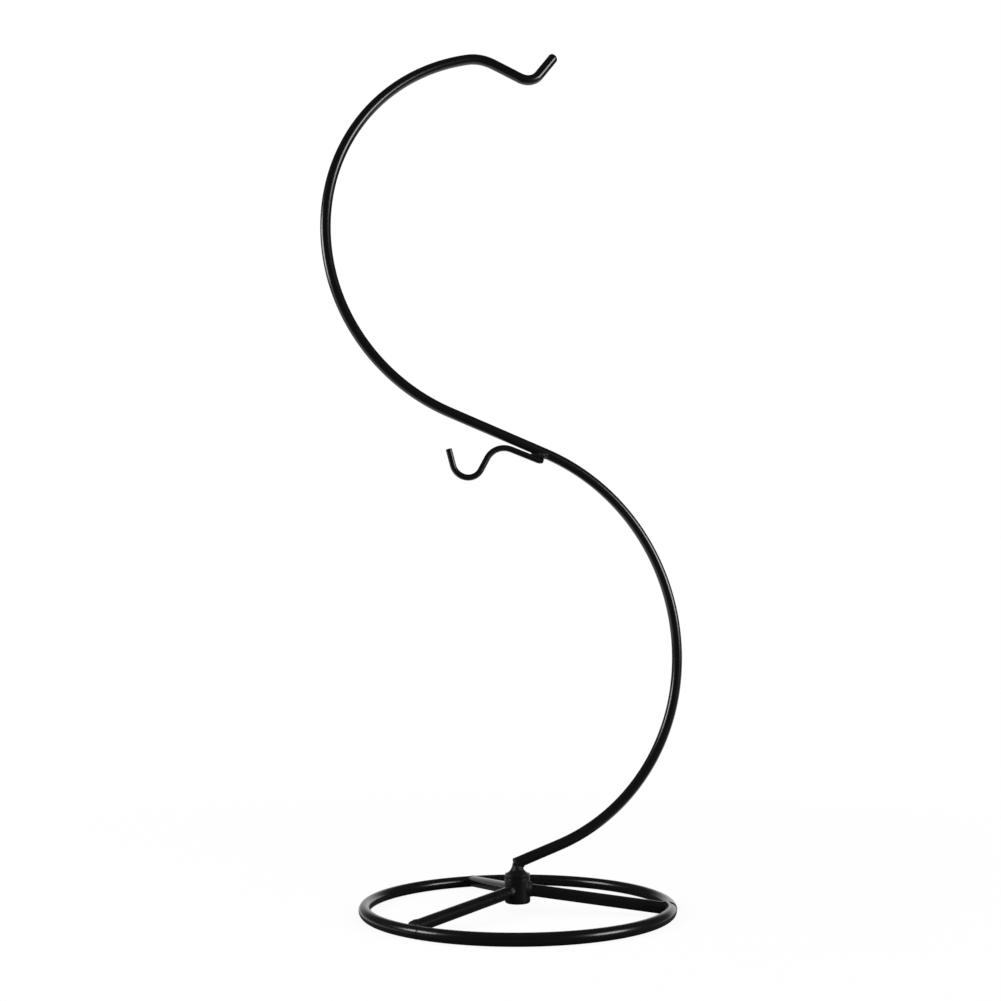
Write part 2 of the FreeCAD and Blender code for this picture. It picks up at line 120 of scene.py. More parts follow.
class BaseSizes(bpy.types.PropertyGroup):
    """The ring, its three spokes and the socket."""

    ring_radius: millimetres("Ring radius", 62.5, "Axis to the ring wire's centre")
    wire: millimetres("Base wire", 4.8, "Wire of the ring and the spokes")
    seam_width: millimetres("Seam width", 1.0, "The ring's butt weld, along the wire")
    seam_azimuth: degrees("Seam azimuth", 217.0, "Where the ring's wire is joined")
    seam_groove: millimetres("Seam groove", 0.1, "Depth of the fine line left by the dressed weld")
    step_azimuth: degrees("Step azimuth", 335.6, "Fine step across the ring by the right spoke")
    step_height: millimetres("Step height", 0.36, "How much lower the wire lies in front of it")
    step_length: millimetres("Step length", 5.0, "How soon that fades along the wire")
    step_line: millimetres("Step line", 0.2, "Half width of the open line at its foot")
    step_depth: millimetres("Step depth", 0.06, "How deep that line goes")
    step_slant: millimetres("Step slant", 7.4, "How far the step runs back over the wire's inner side")
    spoke_azimuth: degrees("Spoke azimuth", 92.1, "First spoke")
    rise_at_hub: millimetres("Rise at hub", 6.6, "Spoke line above the ring's plane, on the axis")
    rise_at_rim: millimetres("Rise at rim", 0.6, "Spoke line above the ring's plane, over the ring wire")
    hub_errors: for_each_spoke("Hub errors", (-0.3, -0.15, 0.4), "How much too high a spoke is at the hub")
    rim_errors: for_each_spoke("Rim errors", (-0.4, 0.2, 0.0), "How much too high a spoke is over the ring")
    spoke_lap: millimetres("Spoke lap", 1.1, "Spoke's end past the ring's inner side")
    root_gap: millimetres("Root gap", 0.05, "Between a spoke's coped end and what it is welded to")
    socket: millimetres("Socket", 10.5, "Diameter of the tapped sleeve")
    socket_height: millimetres("Socket height", 9.9, "Sleeve, end to end")
    socket_lift: millimetres("Socket lift", 3.6, "Sleeve's lower end above the table")
    socket_corner: millimetres("Socket corner", 0.9, "Rounding of the sleeve's lower rim")
    bore: millimetres("Bore", 6.1, "Bore of the sleeve over its thread's crests")
    bore_chamfer: millimetres("Bore chamfer", 0.4, "Lead-in of the bore")
    thread_pitch: millimetres("Thread pitch", 1.0, "Rise of the thread in one turn")
    thread_depth: millimetres("Thread depth", 0.5, "Crest to root")


class UprightSizes(bpy.types.PropertyGroup):
    """The stud, the S-shaped rod and the lower hook."""

    shank: millimetres("Shank", 6.0, "Stud's shank over its thread")
    shank_length: millimetres("Shank length", 8.5, "Shank below the shoulder")
    shank_chamfer: millimetres("Shank chamfer", 0.7, "Lead-in at the shank's end")
    seat_clearance: millimetres("Seat clearance", 0.02, "Shoulder to socket when screwed home")
    collar: millimetres("Collar", 10.3, "Diameter of the stud's shoulder")
    collar_height: millimetres("Collar height", 1.7, "The stud's shoulder")
    neck: millimetres("Neck", 4.1, "Narrowest diameter of the neck")
    neck_flare: millimetres("Neck flare", 4.0, "Concave flare from the neck to the collar")
    neck_land: millimetres("Neck land", 0.25, "Neck's flat top below the rod's lowest corner")
    rod: millimetres("Rod", 4.5, "Main wire")
    foot_offset: millimetres("Foot offset", -1.1, "Rod's cut end, along X from the axis")
    foot_height: millimetres("Foot height", 19.1, "Rod's cut end above the table")
    foot_heading: degrees("Foot heading", 18.8, "The rod's first run above the horizontal")
    foot_run: millimetres("Foot run", 20.6, "First straight run")
    lower_bowl_start: millimetres("Lower bowl start", 83.9, "Radius near the base")
    lower_bowl_start_angle: degrees("Lower bowl start angle", 63.2, "How far it turns the wire")
    lower_bowl_end: millimetres("Lower bowl end", 91.7, "Radius of the upper half")
    lower_bowl_end_angle: degrees("Lower bowl end angle", 78.1, "How far it turns the wire")
    cross_run: millimetres("Cross run", 47.0, "Straight run between the bowls")
    upper_bowl_start: millimetres("Upper bowl start", 83.2, "Radius of the lower half")
    upper_bowl_start_angle: degrees("Upper bowl start angle", 58.6, "How far it turns the wire")
    upper_bowl_end: millimetres("Upper bowl end", 90.2, "Radius of the upper half")
    upper_bowl_end_angle: degrees("Upper bowl end angle", 84.0, "How far it turns the wire")
    crown: millimetres("Crown", 19.6, "Radius of the tighter bend on top")
    crown_angle: degrees("Crown angle", 37.5, "How far it turns the wire")
    crown_run: millimetres("Crown run", 13.6, "Straight run down to the upper hook")
    upper_hook: millimetres("Upper hook", 8.0, "Radius of the upper hook's bend")
    upper_hook_angle: degrees("Upper hook angle", 74.1, "How far it turns the wire")
    upper_hook_tip: millimetres("Upper hook tip", 13.2, "Straight tip of the upper hook")
    upper_tip_rounding: millimetres("Upper tip rounding", 1.3, "Rounded end of the upper hook")
    hook_wire: millimetres("Hook wire", 2.7, "Thinner wire of the lower hook")
    hook_station: millimetres("Hook station", 0.4, "Welded end, along the rod from the lower bowl's end")
    hook_gap: millimetres("Hook gap", 0.5, "Rod to hook wire at the welded end")
    hook_splay_angle: degrees("Hook splay", 1.3, "Between the rod and the hook's straight end")
    lap_run: millimetres("Lap run", 15.1, "Straight run under the rod")
    crest: millimetres("Crest", 9.3, "Radius of the bend away from the rod")
    crest_angle: degrees("Crest angle", 80.6, "How far it turns the wire")
    leg_run: millimetres("Leg run", 6.05, "Short straight leg")
    lower_hook: millimetres("Lower hook", 6.75, "Radius of the lower hook's bend")
    lower_hook_angle: degrees("Lower hook angle", 137.0, "How far it turns the wire")
    lower_hook_tip: millimetres("Lower hook tip", 7.3, "Straight tip of the lower hook")
    cut_rounding: millimetres("Cut rounding", 0.2, "Broken edge of a cut wire under its paint")
    ground_depth: millimetres("Ground depth", 0.65, "Lower side ground off the hook wire's welded end")
    ground_length: millimetres("Ground length", 1.7, "How far back from that end it is ground")


class WeldSizes(bpy.types.PropertyGroup):
    """Weld beads."""

    socket_reach: millimetres("Socket bead reach", 1.3, "Bead of a spoke on the socket, along the spoke")
    socket_rises: for_each_spoke("Socket bead rises", (0.5, 0.4, 1.0), "The same bead, up the socket's wall")
    rim_back: millimetres("Rim bead back", 0.8, "Bead of a spoke on the ring, back along the spoke")
    rim_starts: for_each_spoke("Rim bead starts", (-1.6, -2.6, -1.4), "Spoke's end to where the bead falls")
    rim_ends: for_each_spoke("Rim bead ends", (1.1, 0.8, 0.7), "Spoke's end to the tip of the bead's nose")
    rim_rise: millimetres("Rim bead rise", 0.14, "The same bead, above the spoke")
    hook_length: millimetres("Hook weld length", 9.6, "Weld along its own run")
    hook_width: millimetres("Hook weld width", 5.4, "Weld across the two wires")
    hook_depth: millimetres("Hook weld depth", 3.4, "Weld from the rod into the hook wire")
    hook_reach: millimetres("Hook weld reach", 1.8, "Weld's middle from the hook wire's cut end")
    hook_below: millimetres("Hook weld below", 1.6, "Weld's middle below the rod's middle line")
    hook_turn: degrees("Hook weld turn", 20.0, "Weld's run from the rod's, down into the crease")
    foot_rise: millimetres("Foot weld rise", 1.5, "Weld beside the rod above the neck's flat top")
    ripple: millimetres("Ripple", 0.05, "Height of the ripples on a bead")
    lump: share("Lump", 0.06, "How uneven a bead's outline is")


class PaintLooks(bpy.types.PropertyGroup):
    """The paint over the whole stand."""

    colour: tint("Paint", (0.003, 0.003, 0.0033), "Body colour of the black paint")
    worn_colour: tint("Thin paint", (0.022, 0.021, 0.020), "Where the paint is thin over the steel")
    dust_colour: tint("Dust", (0.30, 0.29, 0.27), "Fine dust on upper sides")
    roughness: share("Roughness", 0.22, "Middle roughness of the paint")
    spread: share("Roughness spread", 0.04, "How much the roughness varies")
    gloss: share("Gloss", 0.5, "Specular level of the paint")
    clear: share("Clear film", 0.2, "The paint's own glossy top film")
    peel: millimetres("Orange peel", 0.002, "Depth of the paint's slow waves")
    peel_spacing: millimetres("Peel spacing", 1.6, "Size of the waves")
    dust: share("Dust amount", 0.02, "How much dust lies on upper sides")


class StudioSizes(bpy.types.PropertyGroup):
    """Camera, lamps, floor and backdrop."""

    camera_place: metres("Camera place", (-0.15073, -0.46486, 0.09321), "Where the camera stands")
    camera_heading: degrees("Camera heading", 17.244, "From +Y towards +X")
    camera_tilt: degrees("Camera tilt", 9.060, "Above the horizontal")
    camera_roll: degrees("Camera roll", -0.3025, "About the line of sight")
    focal_length: number("Focal length", 40.968, "Lens, in millimetres on a 36 mm frame")
    lamp_level: number("Lamp level", 6.9, "Radiance of the softboxes' faces")
    left_heading: degrees("Left lamp heading", -86.5, "From +Y towards +X")
    left_distance: millimetres("Left lamp distance", 800.0, "From the stand's axis")
    left_middle: millimetres("Left lamp middle", 445.0, "Above the table")
    left_width: millimetres("Left lamp width", 340.0, "Its lit face")
    left_height: millimetres("Left lamp height", 350.0, "Its lit face")
    right_heading: degrees("Right lamp heading", 131.0, "From +Y towards +X")
    right_distance: millimetres("Right lamp distance", 1370.0, "From the stand's axis")
    right_middle: millimetres("Right lamp middle", 490.0, "Above the table")
    right_width: millimetres("Right lamp width", 620.0, "Its lit face")
    right_height: millimetres("Right lamp height", 520.0, "Its lit face")
    fill_level: number("Fill level", 0.6, "Plain light from all round")
    mirrored_level: number("Mirrored level", 0.06, "Room seen in glossy paint")
    floor_size: millimetres("Floor size", 9000.0, "Side of the square floor")
    table_level: share("Table level", 0.8, "How bright the table behind the ring is in glossy paint")
    backdrop_distance: millimetres("Backdrop distance", 1100.0, "Behind the stand")
    backdrop_middle: metres("Backdrop middle", (0.9, 0.15), "Across and above the table")
    backdrop_half: metres("Backdrop half size", (1.6, 0.55), "Where its mirrored light has faded out")


# Surfaces


def skin(name, rows, ring=False):
    """A mesh through rows of points, each row closed on itself.

    Quads join each row to the next. The rows close in a ring, or else end in a pole at the mean of the
    first row and one at the mean of the last. A row turns counterclockwise as seen from where the rows
    are heading, so that faces point outwards.
    """
    count, columns = rows.shape[:2]
    index = np.arange(count * columns).reshape(count, columns)
    ahead = np.roll(index, -1, axis=0) if ring else index[1:]
    here = index if ring else index[:-1]
    quads = np.stack([here, np.roll(here, -1, axis=1), np.roll(ahead, -1, axis=1), ahead], axis=-1)
    faces = quads.reshape(-1, 4).tolist()
    points = rows.reshape(-1, 3)
    if not ring:
        first, last = index[0], index[-1]
        poles = np.stack([rows[0].mean(axis=0), rows[-1].mean(axis=0)])
        low = np.stack([np.full(columns, len(points)), np.roll(first, -1), first], axis=1)
        high = np.stack([np.full(columns, len(points) + 1), last, np.roll(last, -1)], axis=1)
        faces += low.tolist() + high.tolist()
        points = np.concatenate([points, poles])
    mesh = bpy.data.meshes.new(name)
    mesh.from_pydata(points.tolist(), [], faces)
    mesh.update()
    mesh.shade_smooth()
    piece = bpy.data.objects.new(name, mesh)
    bpy.context.scene.collection.objects.link(piece)
    return piece


def mark_worn(piece, amount):
    """Keeps how thin the paint is at each point, from nothing to one; poles take the last value."""
    values = np.zeros(len(piece.data.vertices))
    flat = np.clip(np.ravel(amount), 0, 1)
    values[: len(flat)] = flat
    values[len(flat):] = flat[-1]
    piece.data.attributes.new("worn", "FLOAT", "POINT").data.foreach_set("value", values)


def make_piece(node, rows, material, body, worn=0, ring=False):
    """A painted surface that stands for a CAD node and rides on its body."""
    piece = skin(node, rows, ring)
    mark_worn(piece, worn)
    piece.data.materials.append(material)
    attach(piece, body)
    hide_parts(node)


def around(columns):
    """Equal angles once round."""
    return np.arange(columns) * FULL_TURN / columns


def lumps(angle, along):
    """Uneven weld metal from -1 to 1: the mean of four sines of both directions with fixed phases."""
    waves = np.array([[2, 1.3, 0.4], [3, -2.1, 1.9], [5, 2.9, 3.3], [7, -3.7, 5.1]])
    turns, runs, starts = (column[:, None, None] for column in waves.T)
    return np.sin(turns * angle + runs * along + starts).mean(axis=0)


Line = namedtuple("Line", "distances points headings starts")


def bent_line(start, heading, stretches, spacing):
    """A line in the XZ plane of straight runs and arcs, each tangent to the one before.

    Each named stretch is (length, 0) for a run or (radius, angle) for an arc, with a minus sign for a
    clockwise one. Along a run the point is its start plus the distance times (cos, sin) of the heading.
    Round an arc it is the start plus the signed radius times (sin h - sin h0, cos h0 - cos h), for h from
    h0 on. The line's starts are the distances where its stretches begin.
    """
    place = np.array(start, float)
    points, headings, distances, starts = [], [], [], {}
    done = 0.0
    for name, (size, angle) in stretches.items():
        length = size * abs(angle) if angle else size
        steps = np.linspace(0, 1, max(int(np.ceil(length / spacing)), 2))
        turned = heading + steps * angle
        if angle:
            offsets = np.stack([np.sin(turned) - np.sin(heading), np.cos(heading) - np.cos(turned)], axis=1)
            offsets = np.copysign(size, angle) * offsets
        else:
            offsets = steps[:, None] * size * np.array([np.cos(heading), np.sin(heading)])
        starts[name] = done
        points.append(place + offsets)
        headings.append(turned)
        distances.append(done + steps * length)
        place = points[-1][-1]
        heading = turned[-1]
        done += length
    return Line(np.concatenate(distances), np.concatenate(points), np.concatenate(headings), starts)


def point_on(line, along):
    """The point and heading at a distance along a bent line."""
    across, up = (np.interp(along, line.distances, line.points[:, axis]) for axis in (0, 1))
    return across, up, np.interp(along, line.distances, line.headings)


def wire_rows(line, along, left, side=None, columns=WIRE_COLUMNS):
    """Rows round a bent line: point + left cos a * (-sin h, 0, cos h) + side sin a * (0, -1, 0).

    left and side are the half widths in the plane of the bends and across it, one for each row or point.
    """
    side = left if side is None else side
    across, up, heading = (value[:, None] for value in point_on(line, along))
    turn = around(columns)
    in_plane = left * np.cos(turn)
    rows = [across - in_plane * np.sin(heading), -side * np.sin(turn), up + in_plane * np.cos(heading)]
    return np.stack(rows, axis=-1)


def rounded_ends(length, radius, first, last, spacing):
    """Distances and radii of a wire whose end rims are rounded by quarter circles.

    Over the far rounding c the distance is length - c + c sin t and the radius is radius - c + c cos t,
    with t going a quarter turn. The near end mirrors it.
    """
    quarter = np.linspace(0, QUARTER_TURN, ROUNDING_ROWS)
    back = quarter[::-1]
    count = int(np.ceil((length - first - last) / spacing))
    middle = np.linspace(first, length - last, count + 1)[1:-1]
    along = [first - first * np.sin(back), middle, length - last + last * np.sin(quarter)]
    near, far = radius - first + first * np.cos(back), radius - last + last * np.cos(quarter)
    return np.concatenate(along), np.concatenate([near, np.full(len(middle), radius), far])


def turned_rows(radius, height, columns=TURNED_COLUMNS):
    """Rows round the vertical axis: (radius cos a, radius sin a, height)."""
    turn = around(columns)
    radius, height = np.broadcast_arrays(radius, height)
    if radius.ndim == 1:
        radius, height = radius[:, None], height[:, None]
    return np.stack(np.broadcast_arrays(radius * np.cos(turn), radius * np.sin(turn), height), axis=-1)


def arc(centre, radius, start, end, count):
    """Points centre + radius * (cos t, sin t) for t from start to end."""
    turn = np.linspace(start, end, count)
    return np.stack([centre[0] + radius * np.cos(turn), centre[1] + radius * np.sin(turn)], axis=1)


def thread(radius, height, depth, pitch, columns=TURNED_COLUMNS):
    """A threaded wall: the radius plus depth times a rounded ridge that climbs one pitch in a turn.

    The ridge is half of 1 + sin of a full turn times (height / pitch - angle / full turn), flattened a
    little at crest and root by tanh.
    """
    flatness = 1.6
    phase = height[:, None] / pitch * FULL_TURN - around(columns)
    ridge = 0.5 + 0.5 * np.tanh(flatness * np.sin(phase)) / np.tanh(flatness)
    return radius + depth * ridge


# Spokes share one frame: the line falls from the axis to the ring, and angles turn about it from its side


def spoke_heights(base, spoke):
    """Height of a spoke's middle line on the axis and over the ring."""
    at_hub = base.rise_at_hub + base.hub_errors[spoke]
    at_rim = base.rise_at_rim + base.rim_errors[spoke]
    return base.wire / 2 + at_hub, base.wire / 2 + at_rim


def spoke_tilt(base, spoke):
    """How far a spoke falls from the horizontal."""
    high, low = spoke_heights(base, spoke)
    return np.arctan((high - low) / base.ring_radius)


def spoke_end(base, spoke):
    """Where a spoke's wire ends, along its line from the axis."""
    return (base.ring_radius - base.wire / 2 + base.spoke_lap) / np.cos(spoke_tilt(base, spoke))


def spoke_cut(base, weld, spoke, turn):
    """The spoke's end, which slants back on the upper side: the end plus the weld's start times sin^2 a."""
    return spoke_end(base, spoke) + weld.rim_starts[spoke] * np.clip(np.sin(turn), 0, 1) ** 2


def beside_spoke(base, spoke, distance, height, turn):
    """Distance from the axis, side and height of points given along and round a spoke's line.

    With tilt t: out = distance cos t + height sin a sin t, side = height cos a, and
    up = start height - distance sin t + height sin a cos t.
    """
    tilt = spoke_tilt(base, spoke)
    out = distance * np.cos(tilt) + height * np.sin(turn) * np.sin(tilt)
    up = spoke_heights(base, spoke)[0] - distance * np.sin(tilt) + height * np.sin(turn) * np.cos(tilt)
    return out, height * np.cos(turn) * np.ones_like(out), up


def spoke_rows(base, spoke, distance, height, turn):
    """The same points turned to the spoke's azimuth."""
    azimuth = base.spoke_azimuth + spoke * FULL_TURN / len(SPOKE_NAMES)
    out, side, up = beside_spoke(base, spoke, distance, height, turn)
    across = out * np.cos(azimuth) - side * np.sin(azimuth)
    deep = out * np.sin(azimuth) + side * np.cos(azimuth)
    return np.stack([across, deep, up], axis=-1)


def meets_socket(base, spoke, height, turn, gap):
    """How far along the spoke a line beside it meets the socket's wall.

    The wall is a cylinder, so distance = (sqrt(wall^2 - (height cos a)^2) - height sin a sin t) / cos t.
    """
    tilt = spoke_tilt(base, spoke)
    wall = base.socket / 2 + gap
    out = np.sqrt(wall**2 - (height * np.cos(turn)) ** 2)
    return (out - height * np.sin(turn) * np.sin(tilt)) / np.cos(tilt)


def meets_ring(base, spoke, cut, height, turn, gap):
    """Where a line beside the spoke meets the ring's wire, found by halving, or else the spoke's cut."""
    near = cut - 2 * base.wire
    far = cut
    halvings = 30
    for _ in range(halvings):
        middle = (near + far) / 2
        out, side, up = beside_spoke(base, spoke, middle, height, turn)
        away = np.hypot(np.hypot(out, side) - base.ring_radius, up - base.wire / 2)
        clear = away > base.wire / 2 + gap
        near = np.where(clear, middle, near)
        far = np.where(clear, far, middle)
    return near


# Places that pieces share


def socket_top(base):
    """Height of the sleeve's upper end."""
    return base.socket_lift + base.socket_height


def flare(base, upright):
    """Centre of the neck's concave flare, as distance from the axis and height."""
    collar_top = socket_top(base) + upright.seat_clearance + upright.collar_height
    out = upright.neck / 2 + upright.neck_flare
    up = collar_top + np.sqrt(upright.neck_flare**2 - (out - upright.collar / 2) ** 2)
    return out, up


def neck_top(upright):
    """Height of the neck's flat top, just under the rod's lowest corner."""
    return upright.foot_height - upright.rod / 2 * np.cos(upright.foot_heading) - upright.neck_land


def stretches_of(upright, ways):
    """Length or radius of each stretch and its signed angle, by name."""
    angles = {name: way and way * getattr(upright, f"{name}_angle") for name, way in ways.items()}
    return {name: (getattr(upright, name), angle) for name, angle in angles.items()}


def rod_line(upright):
    """Middle line of the rod from its cut foot: a stretch is straight, 0, or turns left, 1, or right, -1."""
    ways = {
        "foot_run": 0, "lower_bowl_start": 1, "lower_bowl_end": 1, "cross_run": 0, "upper_bowl_start": -1,
        "upper_bowl_end": -1, "crown": -1, "crown_run": 0, "upper_hook": 1, "upper_hook_tip": 0,
    }
    spacing = 0.5 * MM
    start = (upright.foot_offset, upright.foot_height)
    return bent_line(start, upright.foot_heading, stretches_of(upright, ways), spacing)


def beside_cross_run(upright, along, below):
    """A point given along the straight run between the bowls and below its middle line."""
    line = rod_line(upright)
    across, up, heading = point_on(line, line.starts["cross_run"] + along)
    return (across - below * np.sin(heading), up + below * np.cos(heading)), heading


def hook_line(upright):
    """Middle line of the lower hook from its welded end."""
    ways = {"lap_run": 0, "crest": 1, "leg_run": 0, "lower_hook": -1, "lower_hook_tip": 0}
    spacing = 0.25 * MM
    below = (upright.rod + upright.hook_wire) / 2 + upright.hook_gap
    start, heading = beside_cross_run(upright, upright.hook_station, below)
    return bent_line(start, heading + upright.hook_splay_angle, stretches_of(upright, ways), spacing)


# Paint


def add(tree, kind, values=(), **settings):
    """A node with its settings, and its inputs set to values or linked to sockets."""
    made = tree.nodes.new(kind)
    for label, setting in settings.items():
        setattr(made, label, setting)
    for place, value in dict(values).items():
        if isinstance(value, bpy.types.NodeSocket):
            tree.links.new(value, made.inputs[place])
        else:
            made.inputs[place].default_value = value
    return made


def calculate(tree, operation, *values):
    """The result of a Math node."""
    return add(tree, "ShaderNodeMath", enumerate(values), operation=operation).outputs[0]


def noise(tree, place, scale, detail=2.0):
    """Smooth noise about one half, with its scale in waves per metre."""
    return add(tree, "ShaderNodeTexNoise", {"Vector": place, "Scale": scale, "Detail": detail}).outputs["Fac"]


def ramp(tree, value, start, end, **settings):
    """An amount that goes from nothing to one while a value goes from start to end."""
    values = {"Value": value, "From Min": start, "From Max": end}
    return add(tree, "ShaderNodeMapRange", values, **settings).outputs[0]


def new_group(name, takes, gives):
    """A shader group that takes a place and named amounts and gives one amount, and what it is given."""
    group = bpy.data.node_groups.new(name, "ShaderNodeTree")
    group.interface.new_socket("Place", in_out="INPUT", socket_type="NodeSocketVector")
    for label in takes:
        group.interface.new_socket(label, in_out="INPUT", socket_type="NodeSocketFloat")
    group.interface.new_socket(gives, in_out="OUTPUT", socket_type="NodeSocketFloat")
    return group, group.nodes.new("NodeGroupInput").outputs


def give(group, result):
    """Ends a group with its result."""
    add(group, "NodeGroupOutput", {0: result})
    return group


def peel_group():
    """Paint film: slow orange-peel waves and finer grain, as a height in millimetres."""
    group, given = new_group("paint_film", ["Waves", "Depth"], "Height")
    finer, fine_share = 3.7, 0.22
    slow = noise(group, given["Place"], given["Waves"], detail=1.0)
    fine = noise(group, given["Place"], calculate(group, "MULTIPLY", given["Waves"], finer))
    both = calculate(group, "MULTIPLY_ADD", fine, fine_share, slow)
    return give(group, calculate(group, "MULTIPLY", both, given["Depth"]))


def handling_group():
    """Roughness that drifts over the surface, with faint wiped marks, and is lower where it is worn."""
    group, given = new_group("handled_gloss", ["Roughness", "Spread", "Worn"], "Roughness")
    middle, smear_share, worn_change = 0.5, 0.6, -0.05
    drift = calculate(group, "SUBTRACT", noise(group, given["Place"], scale=45.0), middle)
    wiped = noise(group, given["Place"], scale=240.0, detail=4.0)
    smears = calculate(group, "SUBTRACT", wiped, middle)
    both = calculate(group, "MULTIPLY_ADD", smears, smear_share, drift)
    varied = calculate(group, "MULTIPLY_ADD", both, given["Spread"], given["Roughness"])
    rubbed = calculate(group, "MULTIPLY_ADD", given["Worn"], worn_change, varied)
    return give(group, add(group, "ShaderNodeClamp", {"Value": rubbed, "Min": 0.05, "Max": 0.9}).outputs[0])


def dust_group():
    """Where fine dust lies: on faces that look up, in patches."""
    group, given = new_group("settled_dust", ["Amount"], "Mask")
    normal = add(group, "ShaderNodeNewGeometry").outputs["Normal"]
    upward = add(group, "ShaderNodeSeparateXYZ", {0: normal}).outputs["Z"]
    level = ramp(group, upward, start=0.2, end=1.0)
    patches = ramp(group, noise(group, given["Place"], scale=380.0, detail=6.0), start=0.42, end=0.75)
    lying = calculate(group, "MULTIPLY", level, patches)
    return give(group, calculate(group, "MULTIPLY", lying, given["Amount"]))


def wear_group():
    """Thin paint on rubbed places and cut edges: the worn value broken up by noise."""
    group, given = new_group("thin_paint", ["Worn"], "Mask")
    least, noise_share, softness = 0.7, 0.7, 0.35
    broken = noise(group, given["Place"], scale=900.0, detail=5.0)
    past = calculate(group, "SUBTRACT", given["Worn"], least)
    edge = calculate(group, "MULTIPLY_ADD", broken, noise_share, past)
    return give(group, ramp(group, edge, start=0.0, end=softness))


def grain_group():
    """Weld grain under the paint: rounded cells and fine scale, as a height in millimetres."""
    group, given = new_group("weld_grain", ["Depth"], "Height")
    values = {"Vector": given["Place"], "Scale": 2200.0}
    cells = add(group, "ShaderNodeTexVoronoi", values, feature="SMOOTH_F1").outputs["Distance"]
    grit, grit_share = noise(group, given["Place"], scale=3400.0, detail=3.0), 0.6
    both = calculate(group, "MULTIPLY_ADD", grit, grit_share, cells)
    return give(group, calculate(group, "MULTIPLY", both, given["Depth"]))


def lathe_group():
    """Fine rings that the turning tool leaves, as a height in millimetres."""
    group, given = new_group("turned_lines", ["Depth"], "Height")
    values = {"Vector": given["Place"], "Scale": 900.0, "Distortion": 0.6, "Detail": 1.0}
    rings = add(group, "ShaderNodeTexWave", values, wave_type="BANDS", bands_direction="Z").outputs["Fac"]
    return give(group, calculate(group, "MULTIPLY", rings, given["Depth"]))


GROUPS = {
    "paint_film": peel_group,
    "handled_gloss": handling_group,
    "settled_dust": dust_group,
    "thin_paint": wear_group,
    "weld_grain": grain_group,
    "turned_lines": lathe_group,
}


def mixed(tree, share_over, under, over):
    """One colour over another by a share."""
    values = {"Factor": share_over, "A": under, "B": over}
    return add(tree, "ShaderNodeMix", values, data_type="RGBA").outputs["Result"]


def effect(tree, name, values):
    """One of the shared groups, placed in a material with its own values."""
    group = bpy.data.node_groups.get(name) or GROUPS[name]()
    return add(tree, "ShaderNodeGroup", values, node_tree=group).outputs[0]


def empty_tree(holder):
    """The node tree of a new material or world, with nothing in it."""
    holder.use_nodes = True
    holder.node_tree.nodes.clear()
    return holder.node_tree


def paint(name, rougher=0.0, clearer=1.0, under=None, under_depth=0.0):
    """Black paint with its own film, gloss, dust and thin places, over a turned or welded surface."""
    found = bpy.data.materials.get(name)
    if found:
        return found
    looks = bpy.context.scene.stand_paint
    material = bpy.data.materials.new(name)
    tree = empty_tree(material)
    place = add(tree, "ShaderNodeTexCoord").outputs["Object"]
    worn = add(tree, "ShaderNodeAttribute", attribute_name="worn").outputs["Fac"]
    thin = effect(tree, "thin_paint", {"Place": place, "Worn": worn})
    dust = effect(tree, "settled_dust", {"Place": place, "Amount": looks.dust})
    film = effect(tree, "paint_film", {
        "Place": place, "Waves": 1 / looks.peel_spacing, "Depth": looks.peel / MM,
    })
    if under:
        film = calculate(tree, "ADD", film, effect(tree, under, {"Place": place, "Depth": under_depth / MM}))
    rough = effect(tree, "handled_gloss", {
        "Place": place, "Roughness": looks.roughness + rougher, "Spread": looks.spread, "Worn": worn,
    })
    dust_roughness = 0.6
    rough = calculate(tree, "MULTIPLY_ADD", dust, dust_roughness, rough)
    body = mixed(tree, thin, (*looks.colour, 1), (*looks.worn_colour, 1))
    colour = mixed(tree, dust, body, (*looks.dust_colour, 1))
    relief = add(tree, "ShaderNodeBump", {"Height": film, "Distance": MM, "Strength": 1.0})
    shader = add(tree, "ShaderNodeBsdfPrincipled", {
        "Base Color": colour,
        "Roughness": rough,
        "Specular IOR Level": looks.gloss,
        "Coat Weight": clearer * looks.clear,
        "Coat Roughness": looks.roughness,
        "Normal": relief.outputs["Normal"],
    })
    add(tree, "ShaderNodeOutputMaterial", {"Surface": shader.outputs[0]})
    return material


def wire_paint():
    """Paint on drawn wire, which is smooth under it."""
    return paint("painted_wire")


def turned_paint():
    """Paint over the fine rings of the socket and the stud."""
    return paint(
        "painted_turned_steel", rougher=0.12, clearer=0.4, under="turned_lines", under_depth=0.0015 * MM
    )


def weld_paint():
    """Thin dull paint over the grain of a bead."""
    return paint("painted_weld", rougher=0.25, clearer=0.0, under="weld_grain", under_depth=0.02 * MM)


# Pieces


class StandOperator:
    """What the operators share."""

    bl_options = {"REGISTER", "UNDO"}


def ring_rows(base, bearing, radius):
    """Rows round the ring's wire: R + r cos a from the axis and wire / 2 - r sin a above the table."""
    turn = around(WIRE_COLUMNS)
    out = base.ring_radius + radius * np.cos(turn)
    up = base.wire / 2 - radius * np.sin(turn)
    return np.stack([out * np.cos(bearing), out * np.sin(bearing), up], axis=-1)


